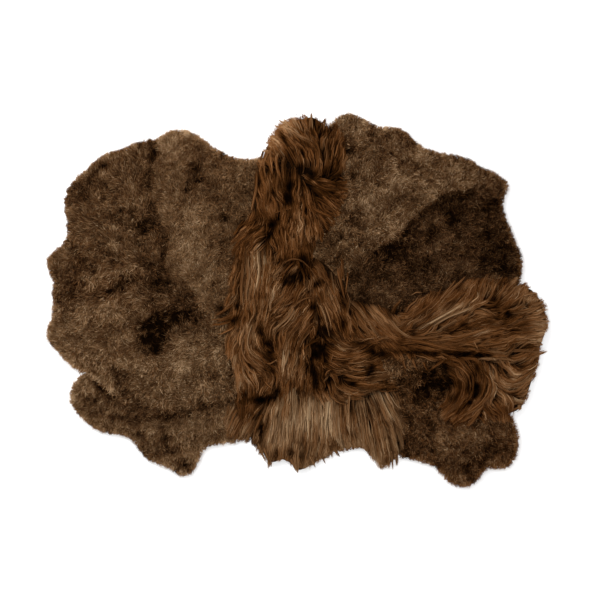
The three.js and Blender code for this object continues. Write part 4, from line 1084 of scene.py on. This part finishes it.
edge_of_rug = softened(on_rug * 1.0, 3 * mm)
may_lie = softened(is_long * 1.0, 14 * mm)
long_clouds = 0.05 * clouds(pile, 12 * mm, 21) + 0.03 * clouds(pile, 40 * mm, 22)
ragged = from_rim + 8 * mm * clouds(pile, 7 * mm, 23) + 6 * mm * clouds(pile, 18 * mm, 24)
for number, (skin, slot) in enumerate(long_slots.items()):
    chance = np.random.default_rng(500 + number)
    root = sown(skin, lock_every, 600 + number, 8 * mm)
    locks = len(root)
    length = lock_length[skin] * mm * chance.uniform(0.75, 1.2, locks)
    wave = np.radians(lock_wave[skin]) * chance.uniform(0.4, 1.6, locks)
    phase = chance.uniform(0, 2 * np.pi, locks)
    line = combed(root, combing[skin], length, wave, phase, lock_steps)
    on = np.cumprod((read(edge_of_rug, line) > 0.5) & (read(may_lie, line) > 0.1), axis=1).sum(1) / lock_steps
    length = np.where(on < 1, 1.15 * length * on + chance.uniform(-5, 8, locks) * mm, length)
    keep = length > 20 * mm
    root, length, wave, phase = root[keep], length[keep], wave[keep], phase[keep]
    placed = placed_locks[skin]
    sown_locks, locks = len(root), len(root) + len(placed)
    line = combed(root, combing[skin], length, wave, phase, lock_steps)
    line = np.concatenate([line, [drawn(points, lock_steps) for _, _, _, *points in placed]])
    length = np.linalg.norm(np.diff(line, axis=1), axis=2).sum(1)
    on_top = np.arange(locks) >= sown_locks
    wisp = np.repeat(np.arange(locks * wisps_each), strands_a_wisp[skin])
    lock = wisp // wisps_each
    count, wisps = len(wisp), locks * wisps_each
    steps = long_steps[skin]
    t = np.linspace(0, 1, steps)
    reach = chance.uniform(0.72, 1.0, wisps)[wisp] * chance.uniform(0.9, 1.0, count)
    ring, spoke = np.sqrt(chance.uniform(0, 1, wisps)), chance.uniform(0, 2 * np.pi, wisps)
    across, forward = (ring * np.cos(spoke))[wisp], (ring * np.sin(spoke))[wisp]
    gather = chance.uniform(0.2, 0.6, locks)[lock][:, None]
    bulk = lock_half_width * chance.uniform(0.8, 1.4, locks)
    bulk[on_top] = [half * mm for _, _, half, *_ in placed]
    bulk = bulk[lock][:, None]
    drawn_in = 1 - gather * eased(t)
    loose = chance.normal(0, 1, count)[:, None] * (3.4 - 1.0 * eased(t)) * mm
    loose *= np.minimum(bulk / lock_half_width, 1)
    swing = chance.normal(0, 1, wisps)[wisp][:, None]
    turns = t * chance.uniform(0.8, 2.2, wisps)[wisp][:, None]
    swing = swing * np.sin(2 * np.pi * (turns + chance.uniform(0, 1, wisps)[wisp][:, None]))
    offset = across[:, None] * drawn_in * bulk + swing * 0.15 * bulk * t + loose
    plan, left = laid(line, lock, reach, offset, forward[:, None] * bulk * (1 - t))
    past_rim = chance.uniform(*rim_reach[skin], locks)
    past_rim[on_top] = placed_past_rim
    room = read(ragged, plan) + (past_rim[lock] * mm + chance.uniform(0, 7 * mm, count))[:, None]
    last = np.cumprod(room > 0, axis=1).sum(1) - 1
    some = np.maximum(last, 0)
    beyond = np.minimum(some + 1, steps - 1)
    each = np.arange(count)
    part = room[each, some] / np.maximum(room[each, some] - room[each, beyond], 1e-9)
    reach *= np.clip((some + np.where(last < steps - 1, part, 0)) / (steps - 1), 0, 1)
    plan, left = laid(line, lock, reach, offset, forward[:, None] * bulk * (1 - t))
    here = np.maximum(read(pile, plan) - leather, 2 * mm)
    layer = chance.uniform(-0.16, 0.12, locks)[lock][:, None]
    layer = layer + 0.06 * chance.standard_normal(wisps)[wisp][:, None]
    stray = 0.05 * chance.standard_normal(count)[:, None]
    up = leather + here * (0.34 + 0.58 * eased(t / 0.4) + layer * t + stray)
    crown = drawn_in * (1 - across[:, None] ** 2) * eased(t / 0.3)
    up += bulk * 0.45 * crown * np.minimum(here / (30 * mm), 1)
    up += 7 * mm * on_top[lock][:, None] * eased(t / 0.25) * np.minimum(here / (30 * mm), 1)
    up = np.clip(up, 1.2 * mm, highest_wool)
    path = np.concatenate([plan, up[..., None]], axis=2)
    roll = 0.8 * across[:, None] + chance.normal(0, 0.45, count)[:, None] + np.zeros_like(t)
    side = np.concatenate([left * np.cos(roll)[..., None], -np.sin(roll)[..., None]], axis=2)
    width = chance.uniform(1.6, 3.0, count)[:, None] * mm * (1 - 0.7 * t**2)
    tone = long_tone[skin] + 0.06 * chance.standard_normal(locks)
    tone[on_top] = long_tone[skin] + np.array([extra for extra, *_ in placed])
    tone = tone[lock]
    tone += (wisp_spread[skin] * chance.standard_normal(wisps))[wisp]
    tone += 0.9 * wisp_spread[skin] * chance.standard_normal(count)
    # Painted light along each lock's crest and painted shade at its edges; the tips are a little lighter than
    # the roots.
    tone = tone[:, None] + 0.05 * (1 - 2 * across[:, None] ** 2) + 0.06 * (t - 0.5)
    tone = tone + read(shade["long"] + long_clouds, plan) * np.where(on_top[lock], 0.4, 1)[:, None]
    # Painted light on the strands near the rim.
    tone += rim_light[skin] * t * np.exp(-np.maximum(read(from_rim, plan), 0) / (18 * mm))
    warmth = long_warmth[skin] + 0.15 * chance.standard_normal(locks)
    warmth[on_top] = [own for _, own, *_ in placed]
    warmth = warmth[lock] + 0.08 * chance.standard_normal(count)
    keep = reach * length[lock] > 15 * mm
    bare = 0.4 * np.exp(-np.maximum(read(from_rim, line[:, 0]), 0) / (30 * mm))[lock]
    strands = ribbons(path[keep], side[keep], width[keep], tone[keep], warmth[keep], bare[keep])
    # The bed under the strands is much darker than they are, with the soft spots: painted shade down in the
    # pile.
    grown(skin, strands, 0.4, 0.2 + shade["long"], [bed_look, wool_look])


# The room: a pale floor under the rug, a soft light from the upper left and an even one all round, and
# the camera straight above, as in the photograph.
floor_half, floor_height = 40, -0.4 * mm
corner_sides = ((-1, -1), (1, -1), (1, 1), (-1, 1))
floor_corners = [(x * floor_half, y * floor_half, floor_height) for x, y in corner_sides]
off_white = (0.90, 0.90, 0.90, 1)
mesh = bpy.data.meshes.new("floor")
mesh.from_pydata(floor_corners, [], [(0, 1, 2, 3)])
mesh.materials.append(finish_of("floor_paint", Base_Color=off_white, Roughness=0.8, Emission_Strength=0.4))
floor = bpy.data.objects.new("floor", mesh)
bpy.context.collection.objects.link(floor)

world = bpy.data.worlds.new("room")
bpy.context.scene.world = world
world.use_nodes = True
world.node_tree.nodes["Background"].inputs["Color"].default_value = (1, 1, 1, 1)
world.node_tree.nodes["Background"].inputs["Strength"].default_value = 0.75
light = bpy.data.lights.new("softbox", "AREA")
light.shape, light.size, light.energy = "DISK", 1.6, 60
softbox = bpy.data.objects.new("softbox", light)
softbox.location = (-1.3, 1.3, 2.2)
softbox.rotation_euler = (np.radians(-32), np.radians(-30), 0)
bpy.context.collection.objects.link(softbox)

lens = bpy.data.cameras.new("camera")
lens.lens, lens.sensor_width = 85, 36
camera = bpy.data.objects.new("camera", lens)
camera.location = (5.3 * mm, 0.7 * mm, 2.136 * 85 / 36 + 0.03)
bpy.context.collection.objects.link(camera)
scene = bpy.context.scene
scene.camera = camera
scene.view_settings.view_transform = "Standard"
